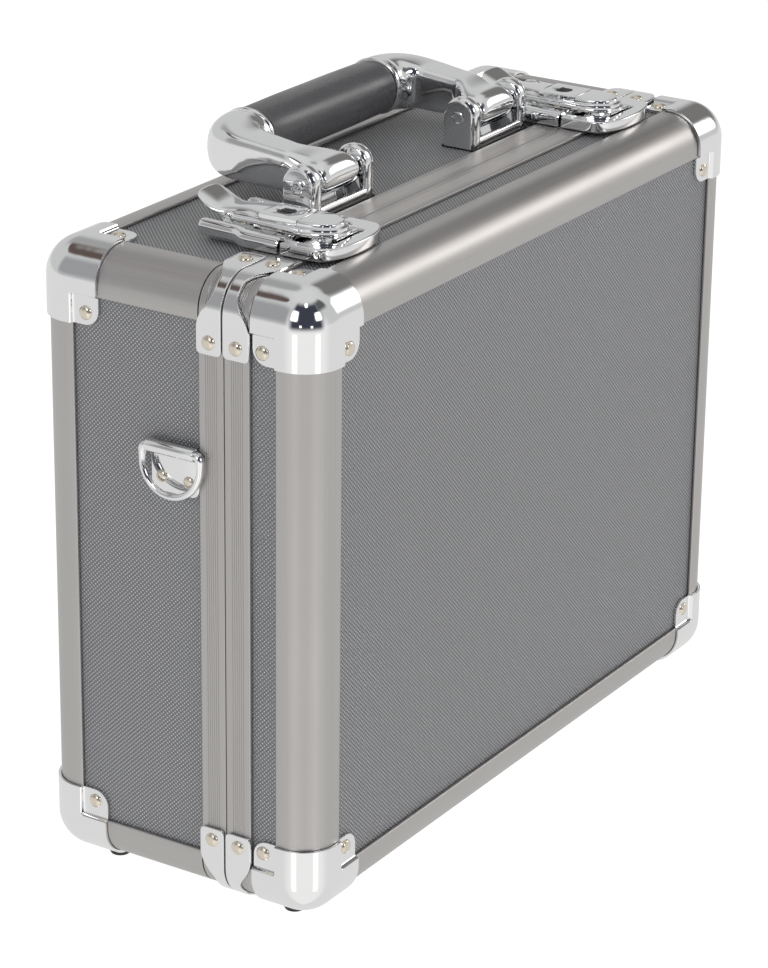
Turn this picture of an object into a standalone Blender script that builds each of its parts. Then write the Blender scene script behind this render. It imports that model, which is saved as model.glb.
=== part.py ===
"""Poker chip case: an aluminium-framed carrying case with a hinged lid, two key latches, a bail handle,
a strap ring on each end and two chip trays. It stands on its feet: X is its length, Y its depth with
the lid at -Y, and Z is up. Run it with blender --background --python part.py."""

import math

import bmesh
import bpy
from mathutils import Euler, Matrix, Vector

MM = 0.001

# The shell: the box that the outer faces of the edge extrusions lie on.
CASE_LENGTH = 380 * MM
CASE_DEPTH = 151 * MM
CASE_HEIGHT = 300 * MM
LID_DEPTH = 48 * MM
FOOT_HEIGHT = 5.5 * MM
GAP = 0.3 * MM

# Aluminium edge extrusions, and the valances that frame the parting line.
EDGE_FACE = 21 * MM
EDGE_RADIUS = 17 * MM
EDGE_WALL = 1.6 * MM
VALANCE_WIDTH = 13.5 * MM
SPLIT_GAP = 0.5 * MM

# The laminated board carcass inside the extrusions.
PANEL_INSET = 2 * MM
BOARD = 4.6 * MM
INNER_RADIUS = 2 * MM

# Pressed corner fittings.
FITTING_WALL = 1.3 * MM
BALL_REACH = 35 * MM
LID_BALL_REACH = 33.2 * MM
BALL_CHAMFER = 62 * MM
BRACKET_REACH = 35 * MM
FOOT_INSET = 19 * MM
FOOT_RADIUS = 6 * MM

# The hinge under the parting line.
HINGE_LENGTH = 300 * MM
KNUCKLE_RADIUS = 1.9 * MM
HINGE_PIN_RADIUS = 0.8 * MM
HINGE_CLEARANCE = 0.1 * MM
HINGE_LEAF = 1.0 * MM
HINGE_LEAF_WIDTH = 13 * MM
LID_KNUCKLE = 100 * MM

# The carrying handle.
BRACKET_OFFSET = 69.6 * MM
BRACKET_WIDTH = 52 * MM
BRACKET_DEPTH = 18 * MM
BRACKET_HEIGHT = 25 * MM
BRACKET_SETBACK = 64.5 * MM
EAR_THICKNESS = 8 * MM
HANDLE_PIN_RADIUS = 2.5 * MM
BOSS_RADIUS = 8.4 * MM
BOSS_WIDTH = 30 * MM
BAIL_REACH = 55 * MM
BAIL_RISE = 4.4 * MM
BAIL_HALF_WIDTH = 76 * MM
ARM_RADIUS = 9.5 * MM
ELBOW_RADIUS = 13.5 * MM
ELBOW_BEND = 17 * MM
GRIP_LENGTH = 106 * MM
GRIP_HALF_WIDTH = 15 * MM
GRIP_HALF_HEIGHT = 14 * MM
GRIP_CORE_RADIUS = 5 * MM

# The latches. Heights are above the top face, and depths are behind the lid's front face.
LATCH_OFFSET = 123.2 * MM
LATCH_WIDTH = 50 * MM
LATCH_BACK = 93 * MM
LATCH_FLOOR = 1.8 * MM
LATCH_RAIL = 7 * MM
LATCH_HEIGHT = 6 * MM
LEVER_WIDTH = 18.5 * MM
LEVER_TOP = 12 * MM
LEVER_PIVOT = (51.5 * MM, 4.2 * MM)
HOOK_PIVOT = (84 * MM, 7.5 * MM)
LATCH_PIN_RADIUS = 1.1 * MM
PIN_CLEARANCE = 0.15 * MM
PLUG_DEPTH = 60.2 * MM
PLUG_RADIUS = 4.4 * MM
HOOK_RAIL_INNER = 9.8 * MM
HOOK_RAIL_OUTER = 11.8 * MM
NOSE_FRONT = 27.4 * MM
NOSE_HALF_WIDTH = 13 * MM
KEEPER_FRONT = 19.5 * MM
KEEPER_POCKET_FRONT = 26.8 * MM
KEEPER_POCKET_HALF_WIDTH = 12.6 * MM

# The strap rings on the two ends.
RING_SETBACK = 74.8 * MM
RING_AXIS_HEIGHT = 217 * MM
RING_AXIS_OUT = 2.6 * MM
RING_WIRE_RADIUS = 1.6 * MM
RING_HALF_WIDTH = 15.7 * MM
RING_DROP = 22 * MM
LOOP_WIDTH = 26 * MM
LOOP_HEIGHT = 22 * MM
LOOP_WALL = 1.2 * MM

# The chip trays.
CHANNELS = 5
CHANNEL_RADIUS = 20.8 * MM
CHANNEL_PITCH = 45 * MM
TRAY_WALL = 1.2 * MM
TRAY_PITCH = 46 * MM
BAY_WIDTH = 50 * MM
TRAY_CLEARANCE = 1.6 * MM
LINING_THICKNESS = 20 * MM

LEFT, RIGHT = -CASE_LENGTH / 2, CASE_LENGTH / 2
FRONT, BACK = -CASE_DEPTH / 2, CASE_DEPTH / 2
BOTTOM, TOP = FOOT_HEIGHT, FOOT_HEIGHT + CASE_HEIGHT
SPLIT = FRONT + LID_DEPTH
PROUD = GAP + FITTING_WALL
ROUND_STEPS = 5

HINGE_AXIS = Vector((0, SPLIT, BOTTOM - GAP - KNUCKLE_RADIUS))
HANDLE_AXIS = Vector((0, FRONT + BRACKET_SETBACK + BRACKET_DEPTH / 2,
                      TOP - PANEL_INSET + GAP + BRACKET_HEIGHT - BRACKET_DEPTH / 2))


# ---------------------------------------------------------------- scene and materials

def clear_scene():
    for obj in list(bpy.data.objects):
        bpy.data.objects.remove(obj, do_unlink=True)


def collection(name, hidden=False):
    made = bpy.data.collections.new(name)
    bpy.context.scene.collection.children.link(made)
    made.hide_render = hidden
    return made


def material(name, colour, roughness, metallic=0.0):
    made = bpy.data.materials.new(name)
    made.use_nodes = True
    shader = made.node_tree.nodes["Principled BSDF"]
    shader.inputs["Base Color"].default_value = (*colour, 1)
    shader.inputs["Roughness"].default_value = roughness
    shader.inputs["Metallic"].default_value = metallic
    made.diffuse_color = (*colour, 1)
    return made


clear_scene()
CASE = collection("poker_chip_case")
CUTTERS = collection("cutters", hidden=True)

CHROME = material("chrome", (0.80, 0.81, 0.82), 0.08, 1.0)
ALUMINIUM = material("satin_aluminium", (0.55, 0.53, 0.52), 0.32, 1.0)
LAMINATE = material("grey_laminate", (0.22, 0.23, 0.24), 0.4)
RUBBER = material("black_rubber", (0.02, 0.02, 0.02), 0.7)
GRIP = material("black_grip", (0.03, 0.03, 0.035), 0.35)
TRAY = material("black_tray", (0.03, 0.03, 0.035), 0.5)
FOAM = material("dark_foam", (0.05, 0.05, 0.055), 0.95)
STEEL = material("steel_pin", (0.6, 0.6, 0.6), 0.3, 1.0)


# ---------------------------------------------------------------- mesh tools

def mesh_from(bm):
    bmesh.ops.recalc_face_normals(bm, faces=bm.faces)
    mesh = bpy.data.meshes.new("shape")
    bm.to_mesh(mesh)
    bm.free()
    return mesh


def box(low, high):
    low, high = Vector(low), Vector(high)
    bm = bmesh.new()
    size = Matrix.Diagonal((*(high - low), 1))
    bmesh.ops.create_cube(bm, size=1, matrix=Matrix.Translation((low + high) / 2) @ size)
    return mesh_from(bm)


def rounded_box(low, high, radius, segments):
    shape = box(low, high)
    bm = bmesh.new()
    bm.from_mesh(shape)
    bpy.data.meshes.remove(shape)
    bmesh.ops.bevel(bm, geom=bm.edges[:], offset=radius, segments=segments, profile=0.5, affect="EDGES")
    return bm


def cylinder(centre, along, radius, length, segments=16, end_radius=None):
    turn = {"X": Euler((0, math.radians(90), 0)), "Y": Euler((math.radians(-90), 0, 0)), "Z": Euler()}
    bm = bmesh.new()
    bmesh.ops.create_cone(
        bm, cap_ends=True, segments=segments, radius1=radius,
        radius2=radius if end_radius is None else end_radius, depth=length,
        matrix=Matrix.Translation(centre) @ turn[along].to_matrix().to_4x4(),
    )
    return mesh_from(bm)


def prism(loops, along, low, high):
    """Closed outlines, extruded along an axis. A point is (y, z) along X, (x, z) along Y and (x, y) along Z."""
    curve = bpy.data.curves.new("outline", "CURVE")
    curve.dimensions = "2D"
    curve.fill_mode = "BOTH"
    curve.extrude = (high - low) / 2
    for loop in loops:
        spline = curve.splines.new("POLY")
        spline.points.add(len(loop) - 1)
        for point, (a, b) in zip(spline.points, loop):
            point.co = (a, b, 0, 1)
        spline.use_cyclic_u = True
    holder = bpy.data.objects.new("outline", curve)
    middle = (low + high) / 2
    quarter = math.radians(90)
    holder.rotation_euler = {"X": (quarter, 0, quarter), "Y": (quarter, 0, 0), "Z": (0, 0, 0)}[along]
    holder.location = {"X": (middle, 0, 0), "Y": (0, middle, 0), "Z": (0, 0, middle)}[along]
    return baked(holder)


def baked(holder):
    """A curve object's evaluated mesh in world space, with its caps welded. The curve is removed."""
    CUTTERS.objects.link(holder)
    bpy.context.view_layer.update()
    evaluated = holder.evaluated_get(bpy.context.evaluated_depsgraph_get())
    mesh = bpy.data.meshes.new_from_object(evaluated)
    mesh.transform(holder.matrix_world)
    bpy.data.objects.remove(holder)
    bm = bmesh.new()
    bm.from_mesh(mesh)
    bpy.data.meshes.remove(mesh)
    bmesh.ops.remove_doubles(bm, verts=bm.verts, dist=0.000001)
    return mesh_from(bm)


def tube(points, radii, closed=False, depth_segments=3):
    """A round bar along the points, with its own radius at each of them."""
    curve = bpy.data.curves.new("tube", "CURVE")
    curve.dimensions = "3D"
    curve.bevel_depth = 1
    curve.bevel_resolution = depth_segments
    curve.use_fill_caps = not closed
    spline = curve.splines.new("POLY")
    spline.points.add(len(points) - 1)
    for point, place, radius in zip(spline.points, points, radii):
        point.co = (*place, 1)
        point.radius = radius
    spline.use_cyclic_u = closed
    return baked(bpy.data.objects.new("tube", curve))


def joined(base, *changes):
    """The base mesh after its Boolean changes, each a pair such as ("UNION", mesh)."""
    target = bpy.data.objects.new("base", base)
    CUTTERS.objects.link(target)
    others = []
    for operation, mesh in changes:
        other = bpy.data.objects.new("cutter", mesh)
        other.display_type = "WIRE"
        CUTTERS.objects.link(other)
        others.append(other)
        boolean = target.modifiers.new(operation.lower(), "BOOLEAN")
        boolean.operation = operation
        boolean.object = other
    bpy.context.view_layer.update()
    result = bpy.data.meshes.new_from_object(target.evaluated_get(bpy.context.evaluated_depsgraph_get()))
    for obj in [target, *others]:
        bpy.data.objects.remove(obj)
    bm = bmesh.new()
    bm.from_mesh(result)
    bpy.data.meshes.remove(result)
    bmesh.ops.remove_doubles(bm, verts=bm.verts, dist=0.000001)
    bmesh.ops.dissolve_limit(bm, angle_limit=math.radians(0.5), verts=bm.verts, edges=bm.edges)
    return mesh_from(bm)


def mirrored(mesh, sx=1, sy=1, sz=1):
    mesh.transform(Matrix.Diagonal((sx, sy, sz, 1)))
    if sx * sy * sz < 0:
        mesh.flip_normals()
    return mesh


def arc(centre, radius, start, end, steps):
    """Points of an arc, with its angles in degrees, its ends included."""
    angles = [math.radians(start + (end - start) * i / steps) for i in range(steps + 1)]
    return [(centre[0] + radius * math.cos(a), centre[1] + radius * math.sin(a)) for a in angles]


def corner_strip(corner, inward, face, radius, wall):
    """The outline of an angle strip with a rounded outer corner, at a corner of the case."""
    outer = [(0, face), *arc((radius, radius), radius, 180, 270, ROUND_STEPS), (face, 0)]
    inner = [(face, wall), *arc((radius, radius), radius - wall, 270, 180, ROUND_STEPS), (wall, face)]
    return [(corner[0] + inward[0] * a, corner[1] + inward[1] * b) for a, b in outer + inner]


def rounded_rectangle(low, high, radius):
    (x0, z0), (x1, z1) = low, high
    turns = [((x1 - radius, z0 + radius), -90), ((x1 - radius, z1 - radius), 0),
             ((x0 + radius, z1 - radius), 90), ((x0 + radius, z0 + radius), 180)]
    return [p for centre, start in turns for p in arc(centre, radius, start, start + 90, ROUND_STEPS)]


# ---------------------------------------------------------------- placing

def axis_empty(name, place, parent=None):
    empty = bpy.data.objects.new(name, None)
    empty.empty_display_size = 10 * MM
    CASE.objects.link(empty)
    empty.parent = parent
    empty.location = Vector(place) - (world_place(parent) if parent else Vector())
    return empty


def world_place(obj):
    place = Vector(obj.location)
    while obj.parent:
        obj = obj.parent
        place += obj.location
    return place


def add(name, mesh, look, parent=None):
    """A named sub-part. One that is parented to an axis has its origin on that axis."""
    mesh.name = name
    mesh.materials.clear()
    mesh.materials.append(look)
    mesh.shade_smooth()
    mesh.set_sharp_from_angle(angle=math.radians(35))
    obj = bpy.data.objects.new(name, mesh)
    CASE.objects.link(obj)
    if parent:
        mesh.transform(Matrix.Translation(-world_place(parent)))
        obj.parent = parent
    return obj


# ---------------------------------------------------------------- shell

def carcass(low_y, high_y, cut_y, keep):
    """One half of the laminated board box, open at the parting line. keep is 1 for the half behind it."""
    bm = rounded_box((LEFT + PANEL_INSET, FRONT + PANEL_INSET, BOTTOM + PANEL_INSET),
                     (RIGHT - PANEL_INSET, BACK - PANEL_INSET, TOP - PANEL_INSET),
                     EDGE_RADIUS - PANEL_INSET, ROUND_STEPS)
    geometry = bm.verts[:] + bm.edges[:] + bm.faces[:]
    cut = bmesh.ops.bisect_plane(bm, geom=geometry, plane_co=(0, cut_y, 0), plane_no=(0, keep, 0),
                                 clear_inner=True)
    rim = [item for item in cut["geom_cut"] if isinstance(item, bmesh.types.BMEdge)]
    bmesh.ops.contextual_create(bm, geom=rim)
    depth = PANEL_INSET + BOARD
    inner = rounded_box((LEFT + depth, low_y, BOTTOM + depth), (RIGHT - depth, high_y, TOP - depth),
                        INNER_RADIUS, 2)
    return joined(mesh_from(bm), ("DIFFERENCE", mesh_from(inner)))


def edge_extrusions(half, y_edge, inward, parent):
    """The four extrusions round one big face, between its ball corners."""
    start = EDGE_FACE + GAP
    for name, z_edge, up in (("top", TOP, -1), ("bottom", BOTTOM, 1)):
        outline = corner_strip((y_edge, z_edge), (inward, up), EDGE_FACE, EDGE_RADIUS, EDGE_WALL)
        add(f"{half}_edge_{name}", prism([outline], "X", LEFT + start, RIGHT - start), ALUMINIUM, parent)
    for name, x_edge, across in (("left", LEFT, 1), ("right", RIGHT, -1)):
        outline = corner_strip((x_edge, y_edge), (across, inward), EDGE_FACE, EDGE_RADIUS, EDGE_WALL)
        add(f"{half}_edge_{name}", prism([outline], "Z", BOTTOM + start, TOP - start), ALUMINIUM, parent)


def corners():
    """The four corners of the case seen from the front: (name, x, z, and the signs that point inwards)."""
    for side, x, sx in (("left", LEFT, 1), ("right", RIGHT, -1)):
        for level, z, sz in (("bottom", BOTTOM, 1), ("top", TOP, -1)):
            yield f"{level}_{side}", x, z, sx, sz


def corner_posts():
    for name, x, z, sx, sz in corners():
        outline = corner_strip((x, z), (sx, sz), EDGE_FACE, EDGE_RADIUS, EDGE_WALL)
        low = SPLIT + VALANCE_WIDTH + GAP
        add(f"corner_post_{name}", prism([outline], "Y", low, BACK - EDGE_FACE - GAP), ALUMINIUM)


def valance(low_y, high_y):
    outer = rounded_rectangle((LEFT, BOTTOM), (RIGHT, TOP), EDGE_RADIUS)
    inner = rounded_rectangle((LEFT + EDGE_WALL, BOTTOM + EDGE_WALL), (RIGHT - EDGE_WALL, TOP - EDGE_WALL),
                              EDGE_RADIUS - EDGE_WALL)
    return prism([outer, inner], "Y", low_y, high_y)


def ball_corner(reach_y):
    """The pressed cap of a case corner, drawn at the origin with the case towards +X, +Y and +Z."""
    far = 2 * BALL_REACH
    bm = rounded_box((-PROUD,) * 3, (far,) * 3, EDGE_RADIUS + PROUD, ROUND_STEPS)
    planes = [((1, 0, 0), BALL_REACH), ((0, 1, 0), reach_y), ((0, 0, 1), BALL_REACH)]
    slope = math.sqrt(0.5)
    for a, b in ((0, 1), (1, 2), (0, 2)):
        normal = [slope * (i in (a, b)) for i in range(3)]
        planes.append((normal, slope * BALL_CHAMFER))
    for normal, distance in planes:
        geometry = bm.verts[:] + bm.edges[:] + bm.faces[:]
        bmesh.ops.bisect_plane(bm, geom=geometry, plane_co=Vector(normal) * distance, plane_no=normal,
                               clear_outer=True)
    shell = bpy.data.objects.new("ball_corner", mesh_from(bm))
    CUTTERS.objects.link(shell)
    solidify = shell.modifiers.new("wall", "SOLIDIFY")
    solidify.thickness = FITTING_WALL
    solidify.offset = -1
    solidify.use_even_offset = True
    bpy.context.view_layer.update()
    result = bpy.data.meshes.new_from_object(shell.evaluated_get(bpy.context.evaluated_depsgraph_get()))
    bpy.data.objects.remove(shell)
    return result


def corner_fittings(half, y_edge, inward, reach_y, bracket_low, bracket_high, parent):
    """Ball corners on the big face's corners, and angle brackets over the valance's corners."""
    for name, x, z, sx, sz in corners():
        cap = mirrored(ball_corner(reach_y), sx, inward, sz)
        cap.transform(Matrix.Translation((x, y_edge, z)))
        add(f"{half}_ball_corner_{name}", cap, CHROME, parent)
        outline = corner_strip((x - sx * PROUD, z - sz * PROUD), (sx, sz), BRACKET_REACH + PROUD,
                               EDGE_RADIUS + PROUD, FITTING_WALL)
        bracket = prism([outline], "Y", bracket_low, bracket_high)
        add(f"{half}_valance_bracket_{name}", bracket, CHROME, parent)


def feet(half, y, parent):
    for name, x, sx in (("left", LEFT, 1), ("right", RIGHT, -1)):
        top = BOTTOM - PROUD - GAP
        centre = (x + sx * FOOT_INSET, y, top / 2)
        foot = cylinder(centre, "Z", FOOT_RADIUS - 1 * MM, top, 20, FOOT_RADIUS)
        add(f"{half}_foot_{name}", foot, RUBBER, parent)


# ---------------------------------------------------------------- hinge

def hinge_knuckle(low_x, high_x):
    place = ((low_x + high_x) / 2, HINGE_AXIS.y, HINGE_AXIS.z)
    return cylinder(place, "X", KNUCKLE_RADIUS, high_x - low_x, 12)


def hinge_leaf(side, knuckles, reliefs):
    """A leaf with its knuckles. side is 1 for the leaf behind the parting line and -1 for the lid's."""
    leaf_top = BOTTOM - GAP
    edge = HINGE_AXIS.y + side * 0.4 * MM
    far = HINGE_AXIS.y + side * HINGE_LEAF_WIDTH
    low_y, high_y = sorted((edge, far))
    plate = box((-HINGE_LENGTH / 2, low_y, leaf_top - HINGE_LEAF), (HINGE_LENGTH / 2, high_y, leaf_top))
    changes = []
    for low_x, high_x in reliefs:
        reach = KNUCKLE_RADIUS + GAP
        low_cut, high_cut = sorted((HINGE_AXIS.y - side * reach, HINGE_AXIS.y + side * reach))
        cut = box((low_x - GAP, low_cut, leaf_top - 3 * HINGE_LEAF), (high_x + GAP, high_cut, leaf_top + 1 * MM))
        changes.append(("DIFFERENCE", cut))
    changes += [("UNION", hinge_knuckle(low_x, high_x)) for low_x, high_x in knuckles]
    bore = cylinder(HINGE_AXIS, "X", HINGE_PIN_RADIUS + HINGE_CLEARANCE, 2 * HINGE_LENGTH, 12)
    return joined(plate, *changes, ("DIFFERENCE", bore))


def hinge(lid):
    half = HINGE_LENGTH / 2
    lid_knuckles = [(-LID_KNUCKLE / 2, LID_KNUCKLE / 2)]
    body_knuckles = [(-half, -LID_KNUCKLE / 2 - GAP), (LID_KNUCKLE / 2 + GAP, half)]
    add("hinge_leaf_body", hinge_leaf(1, body_knuckles, lid_knuckles), STEEL)
    add("hinge_leaf_lid", hinge_leaf(-1, lid_knuckles, body_knuckles), STEEL, lid)
    add("hinge_pin", cylinder(HINGE_AXIS, "X", HINGE_PIN_RADIUS, HINGE_LENGTH, 12), STEEL)


# ---------------------------------------------------------------- handle

def handle_bracket(x):
    """A base plate with two round-topped ears and the pin that the bail turns on."""
    base_z = TOP - PANEL_INSET + GAP
    y, z = HANDLE_AXIS.y, HANDLE_AXIS.z
    radius = BRACKET_DEPTH / 2
    ear = [(y - radius, base_z), (y + radius, base_z), *arc((y, z), radius, 0, 180, 8)]
    inner = BRACKET_WIDTH / 2 - EAR_THICKNESS
    outer = BRACKET_WIDTH / 2
    plate = box((x - outer + 1 * MM, y - radius, base_z), (x + outer - 1 * MM, y + radius, base_z + 4 * MM))
    pin = cylinder((x, y, z), "X", HANDLE_PIN_RADIUS, BRACKET_WIDTH - 4 * MM, 12)
    return joined(plate, ("UNION", prism([ear], "X", x - outer, x - inner)),
                  ("UNION", prism([ear], "X", x + inner, x + outer)), ("UNION", pin))


def bail_path():
    """Centres and radii along the bail, from one pivot round to the other."""
    tilt = math.atan2(BAIL_RISE, BAIL_REACH)
    bend_y = BAIL_REACH - ELBOW_BEND
    bend = arc((BAIL_HALF_WIDTH - ELBOW_BEND, bend_y), ELBOW_BEND, 0, 90, 4)
    collar = GRIP_LENGTH / 2 + GAP
    side = [(BRACKET_OFFSET, 4 * MM, BOSS_RADIUS * 0.9), (BAIL_HALF_WIDTH, 14 * MM, ARM_RADIUS)]
    side += [(x, y, ARM_RADIUS + (ELBOW_RADIUS - ARM_RADIUS) * i / 4) for i, (x, y) in enumerate(bend)]
    side += [(collar, BAIL_REACH, ELBOW_RADIUS), (collar - 0.1 * MM, BAIL_REACH, GRIP_CORE_RADIUS)]
    whole = side + [(-x, y, r) for x, y, r in reversed(side)]
    points = [(x, HANDLE_AXIS.y + y * math.cos(tilt), HANDLE_AXIS.z + y * math.sin(tilt)) for x, y, r in whole]
    return points, [r for x, y, r in whole]


def bail():
    points, radii = bail_path()
    changes = []
    for x in (-BRACKET_OFFSET, BRACKET_OFFSET):
        centre = (x, HANDLE_AXIS.y, HANDLE_AXIS.z)
        changes.append(("UNION", cylinder(centre, "X", BOSS_RADIUS, BOSS_WIDTH, 20)))
    for x in (-BRACKET_OFFSET, BRACKET_OFFSET):
        centre = (x, HANDLE_AXIS.y, HANDLE_AXIS.z)
        hole = cylinder(centre, "X", HANDLE_PIN_RADIUS + PIN_CLEARANCE, BRACKET_WIDTH, 12)
        changes.append(("DIFFERENCE", hole))
    return joined(tube(points, radii), *changes)


def grip():
    """The soft sleeve between the bail's two collars."""
    sleeve = cylinder((0, 0, 0), "X", 1, GRIP_LENGTH, 24)
    sleeve.transform(Matrix.Diagonal((1, GRIP_HALF_WIDTH, GRIP_HALF_HEIGHT, 1)))
    bore = cylinder((0, 0, 0), "X", GRIP_CORE_RADIUS + GAP, 2 * GRIP_LENGTH, 16)
    shape = joined(sleeve, ("DIFFERENCE", bore))
    tilt = math.atan2(BAIL_RISE, BAIL_REACH)
    shape.transform(Matrix.Translation((0, BAIL_REACH * math.cos(tilt), BAIL_REACH * math.sin(tilt))))
    shape.transform(Matrix.Translation(HANDLE_AXIS))
    return shape


def handle():
    for name, x in (("left", -BRACKET_OFFSET), ("right", BRACKET_OFFSET)):
        add(f"handle_bracket_{name}", handle_bracket(x), CHROME)
    pivot = axis_empty("handle_axis", HANDLE_AXIS)
    add("handle_bail", bail(), CHROME, pivot)
    add("handle_grip", grip(), GRIP, pivot)


# ---------------------------------------------------------------- latches

def latch_point(depth, height):
    """(y, z) of a point given behind the lid's front face and above the top face."""
    return FRONT + depth, TOP + height


def latch_points(pairs):
    return [latch_point(depth * MM, height * MM) for depth, height in pairs]


def latch_base(x):
    """The plate riveted to the body: a floor between two side rails, and the lever's pin on two cheeks."""
    half, rail = LATCH_WIDTH / 2, LATCH_WIDTH / 2 - LATCH_RAIL
    low, floor, top = TOP + GAP, TOP + LATCH_FLOOR, TOP + LATCH_HEIGHT
    soft = 2 * MM
    section = [(-half, low), (half, low), (half, top - soft), (half - soft, top), (rail + soft, top),
               (rail, floor), (-rail, floor), (-rail - soft, top), (-half + soft, top), (-half, top - soft)]
    section = [(x + a, z) for a, z in section]
    front, back = SPLIT + SPLIT_GAP, FRONT + LATCH_BACK
    skirt_front = SPLIT + VALANCE_WIDTH + GAP
    skirt = box((x - half, skirt_front, TOP - PANEL_INSET + GAP), (x + half, back, TOP + 1 * MM))
    pivot_y, pivot_z = latch_point(*LEVER_PIVOT)
    changes = [("UNION", skirt)]
    for side in (-1, 1):
        inner, outer = sorted((x + side * HOOK_RAIL_INNER, x + side * (HOOK_RAIL_OUTER - 0.2 * MM)))
        cheek = [(pivot_y - 3 * MM, floor - 1 * MM), (pivot_y + 4 * MM, floor - 1 * MM),
                 (pivot_y + 1.5 * MM, pivot_z + 1.2 * MM), (pivot_y - 1.5 * MM, pivot_z + 1.2 * MM)]
        changes.append(("UNION", prism([cheek], "X", inner, outer)))
    pin = cylinder((x, pivot_y, pivot_z), "X", LATCH_PIN_RADIUS, 2 * HOOK_RAIL_OUTER - 1 * MM, 12)
    return joined(prism([section], "Y", front, back), *changes, ("UNION", pin))


def latch_lever(x):
    """The lever with its thumb tab, its pivot barrel, the hook's pin and the bore for the key plug."""
    pivot = LEVER_PIVOT[0] / MM, LEVER_PIVOT[1] / MM
    barrel = arc(pivot, 2, 180, 300, 5)
    profile = [(48.6, 12), (48.6, 9.5), *barrel, (54.5, 3.2), (66, 3.2), (70, 6), (82, 5.7), (86, 5.7),
               (90, 8.5), (95, 10.2), (99.5, 13.6), (101.6, 16), (100.2, 16.6), (96.5, 14.2), (92.5, 12.4),
               (88, 11.8), (80, 12)]
    half = LEVER_WIDTH / 2
    body = prism([latch_points(profile)], "X", x - half, x + half)
    pivot_y, pivot_z = latch_point(*LEVER_PIVOT)
    hook_y, hook_z = latch_point(*HOOK_PIVOT)
    pivot_bore = cylinder((x, pivot_y, pivot_z), "X", LATCH_PIN_RADIUS + PIN_CLEARANCE, LATCH_WIDTH, 12)
    plug_bore = cylinder((x, FRONT + PLUG_DEPTH, TOP + 6 * MM), "Z", PLUG_RADIUS + GAP, 20 * MM, 20)
    hook_pin = cylinder((x, hook_y, hook_z), "X", LATCH_PIN_RADIUS, 2 * HOOK_RAIL_OUTER + 1.2 * MM, 12)
    return joined(body, ("DIFFERENCE", pivot_bore), ("DIFFERENCE", plug_bore), ("UNION", hook_pin))


def latch_hook(x):
    """The stepped nose that reaches over the keeper, its lip, and the rails that tie it to the lever."""
    def nose(half_width, front_mm, low_mm, high_mm):
        rear, front = FRONT + 48.2 * MM, FRONT + front_mm * MM
        round_part = [(x + half_width * math.cos(a), rear - (rear - front) * math.sin(a) ** 0.8)
                      for a in [math.radians(180 * i / 12) for i in range(1, 12)]]
        outline = [(x + half_width, rear), *round_part, (x - half_width, rear)]
        return prism([outline], "Z", TOP + low_mm * MM, TOP + high_mm * MM)

    hook_y, hook_z = latch_point(*HOOK_PIVOT)
    changes = [("UNION", nose(LEVER_WIDTH / 2, NOSE_FRONT / MM + 2, 9, 12))]
    lip = box((x - 8.5 * MM, FRONT + 28 * MM, TOP + 2.6 * MM), (x + 8.5 * MM, FRONT + 30.6 * MM, TOP + 7 * MM))
    changes.append(("UNION", lip))
    for side in (-1, 1):
        inner, outer = sorted((x + side * HOOK_RAIL_INNER, x + side * HOOK_RAIL_OUTER))
        rail = box((inner, FRONT + 46 * MM, TOP + 5.8 * MM), (outer, FRONT + 87 * MM, TOP + 9.3 * MM))
        changes.append(("UNION", rail))
    bore = cylinder((x, hook_y, hook_z), "X", LATCH_PIN_RADIUS + PIN_CLEARANCE, LATCH_WIDTH, 12)
    return joined(nose(NOSE_HALF_WIDTH, NOSE_FRONT / MM, 6.3, 9.6), *changes, ("DIFFERENCE", bore))


def key_plug(x):
    """The turning core of the lock, with its key slot."""
    low, high = TOP + 3.7 * MM, TOP + LEVER_TOP + 0.3 * MM
    y = FRONT + PLUG_DEPTH
    core = cylinder((x, y, (low + high) / 2), "Z", PLUG_RADIUS, high - low, 20)
    slot = box((x - 0.6 * MM, y - 3 * MM, high - 3 * MM), (x + 0.6 * MM, y + 3 * MM, high + 1 * MM))
    return joined(core, ("DIFFERENCE", slot))


def latch_keeper(x):
    """The half-round plate on the lid, with the pocket and the bar that the hook's lip catches."""
    rear, front = SPLIT - SPLIT_GAP, FRONT + KEEPER_FRONT
    half = LATCH_WIDTH / 2
    shoulder = FRONT + 34 * MM
    outline = [(x + half, rear), (x + half, shoulder)]
    outline += [(x + half * math.cos(a), shoulder - (shoulder - front) * math.sin(a))
                for a in [math.radians(180 * i / 12) for i in range(1, 12)]]
    outline += [(x - half, shoulder), (x - half, rear)]
    plate = prism([outline], "Z", TOP + GAP, TOP + LATCH_HEIGHT)
    pocket = box((x - KEEPER_POCKET_HALF_WIDTH, FRONT + KEEPER_POCKET_FRONT, TOP + 1.3 * MM),
                 (x + KEEPER_POCKET_HALF_WIDTH, rear + 5 * MM, TOP + 2 * LATCH_HEIGHT))
    bar = box((x - 9 * MM, FRONT + 31.2 * MM, TOP + 0.8 * MM), (x + 9 * MM, FRONT + 33.6 * MM, TOP + 4.2 * MM))
    return joined(plate, ("DIFFERENCE", pocket), ("UNION", bar))


def latches(lid):
    for name, x in (("left", -LATCH_OFFSET), ("right", LATCH_OFFSET)):
        add(f"latch_base_{name}", latch_base(x), CHROME)
        add(f"latch_keeper_{name}", latch_keeper(x), CHROME, lid)
        lever_axis = axis_empty(f"lever_axis_{name}", (x, *latch_point(*LEVER_PIVOT)))
        add(f"latch_lever_{name}", latch_lever(x), CHROME, lever_axis)
        hook_axis = axis_empty(f"hook_axis_{name}", (x, *latch_point(*HOOK_PIVOT)), lever_axis)
        add(f"latch_hook_{name}", latch_hook(x), CHROME, hook_axis)
        plug_axis = axis_empty(f"plug_axis_{name}", (x, FRONT + PLUG_DEPTH, TOP + LEVER_TOP), lever_axis)
        add(f"key_plug_{name}", key_plug(x), STEEL, plug_axis)


# ---------------------------------------------------------------- strap rings

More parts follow.
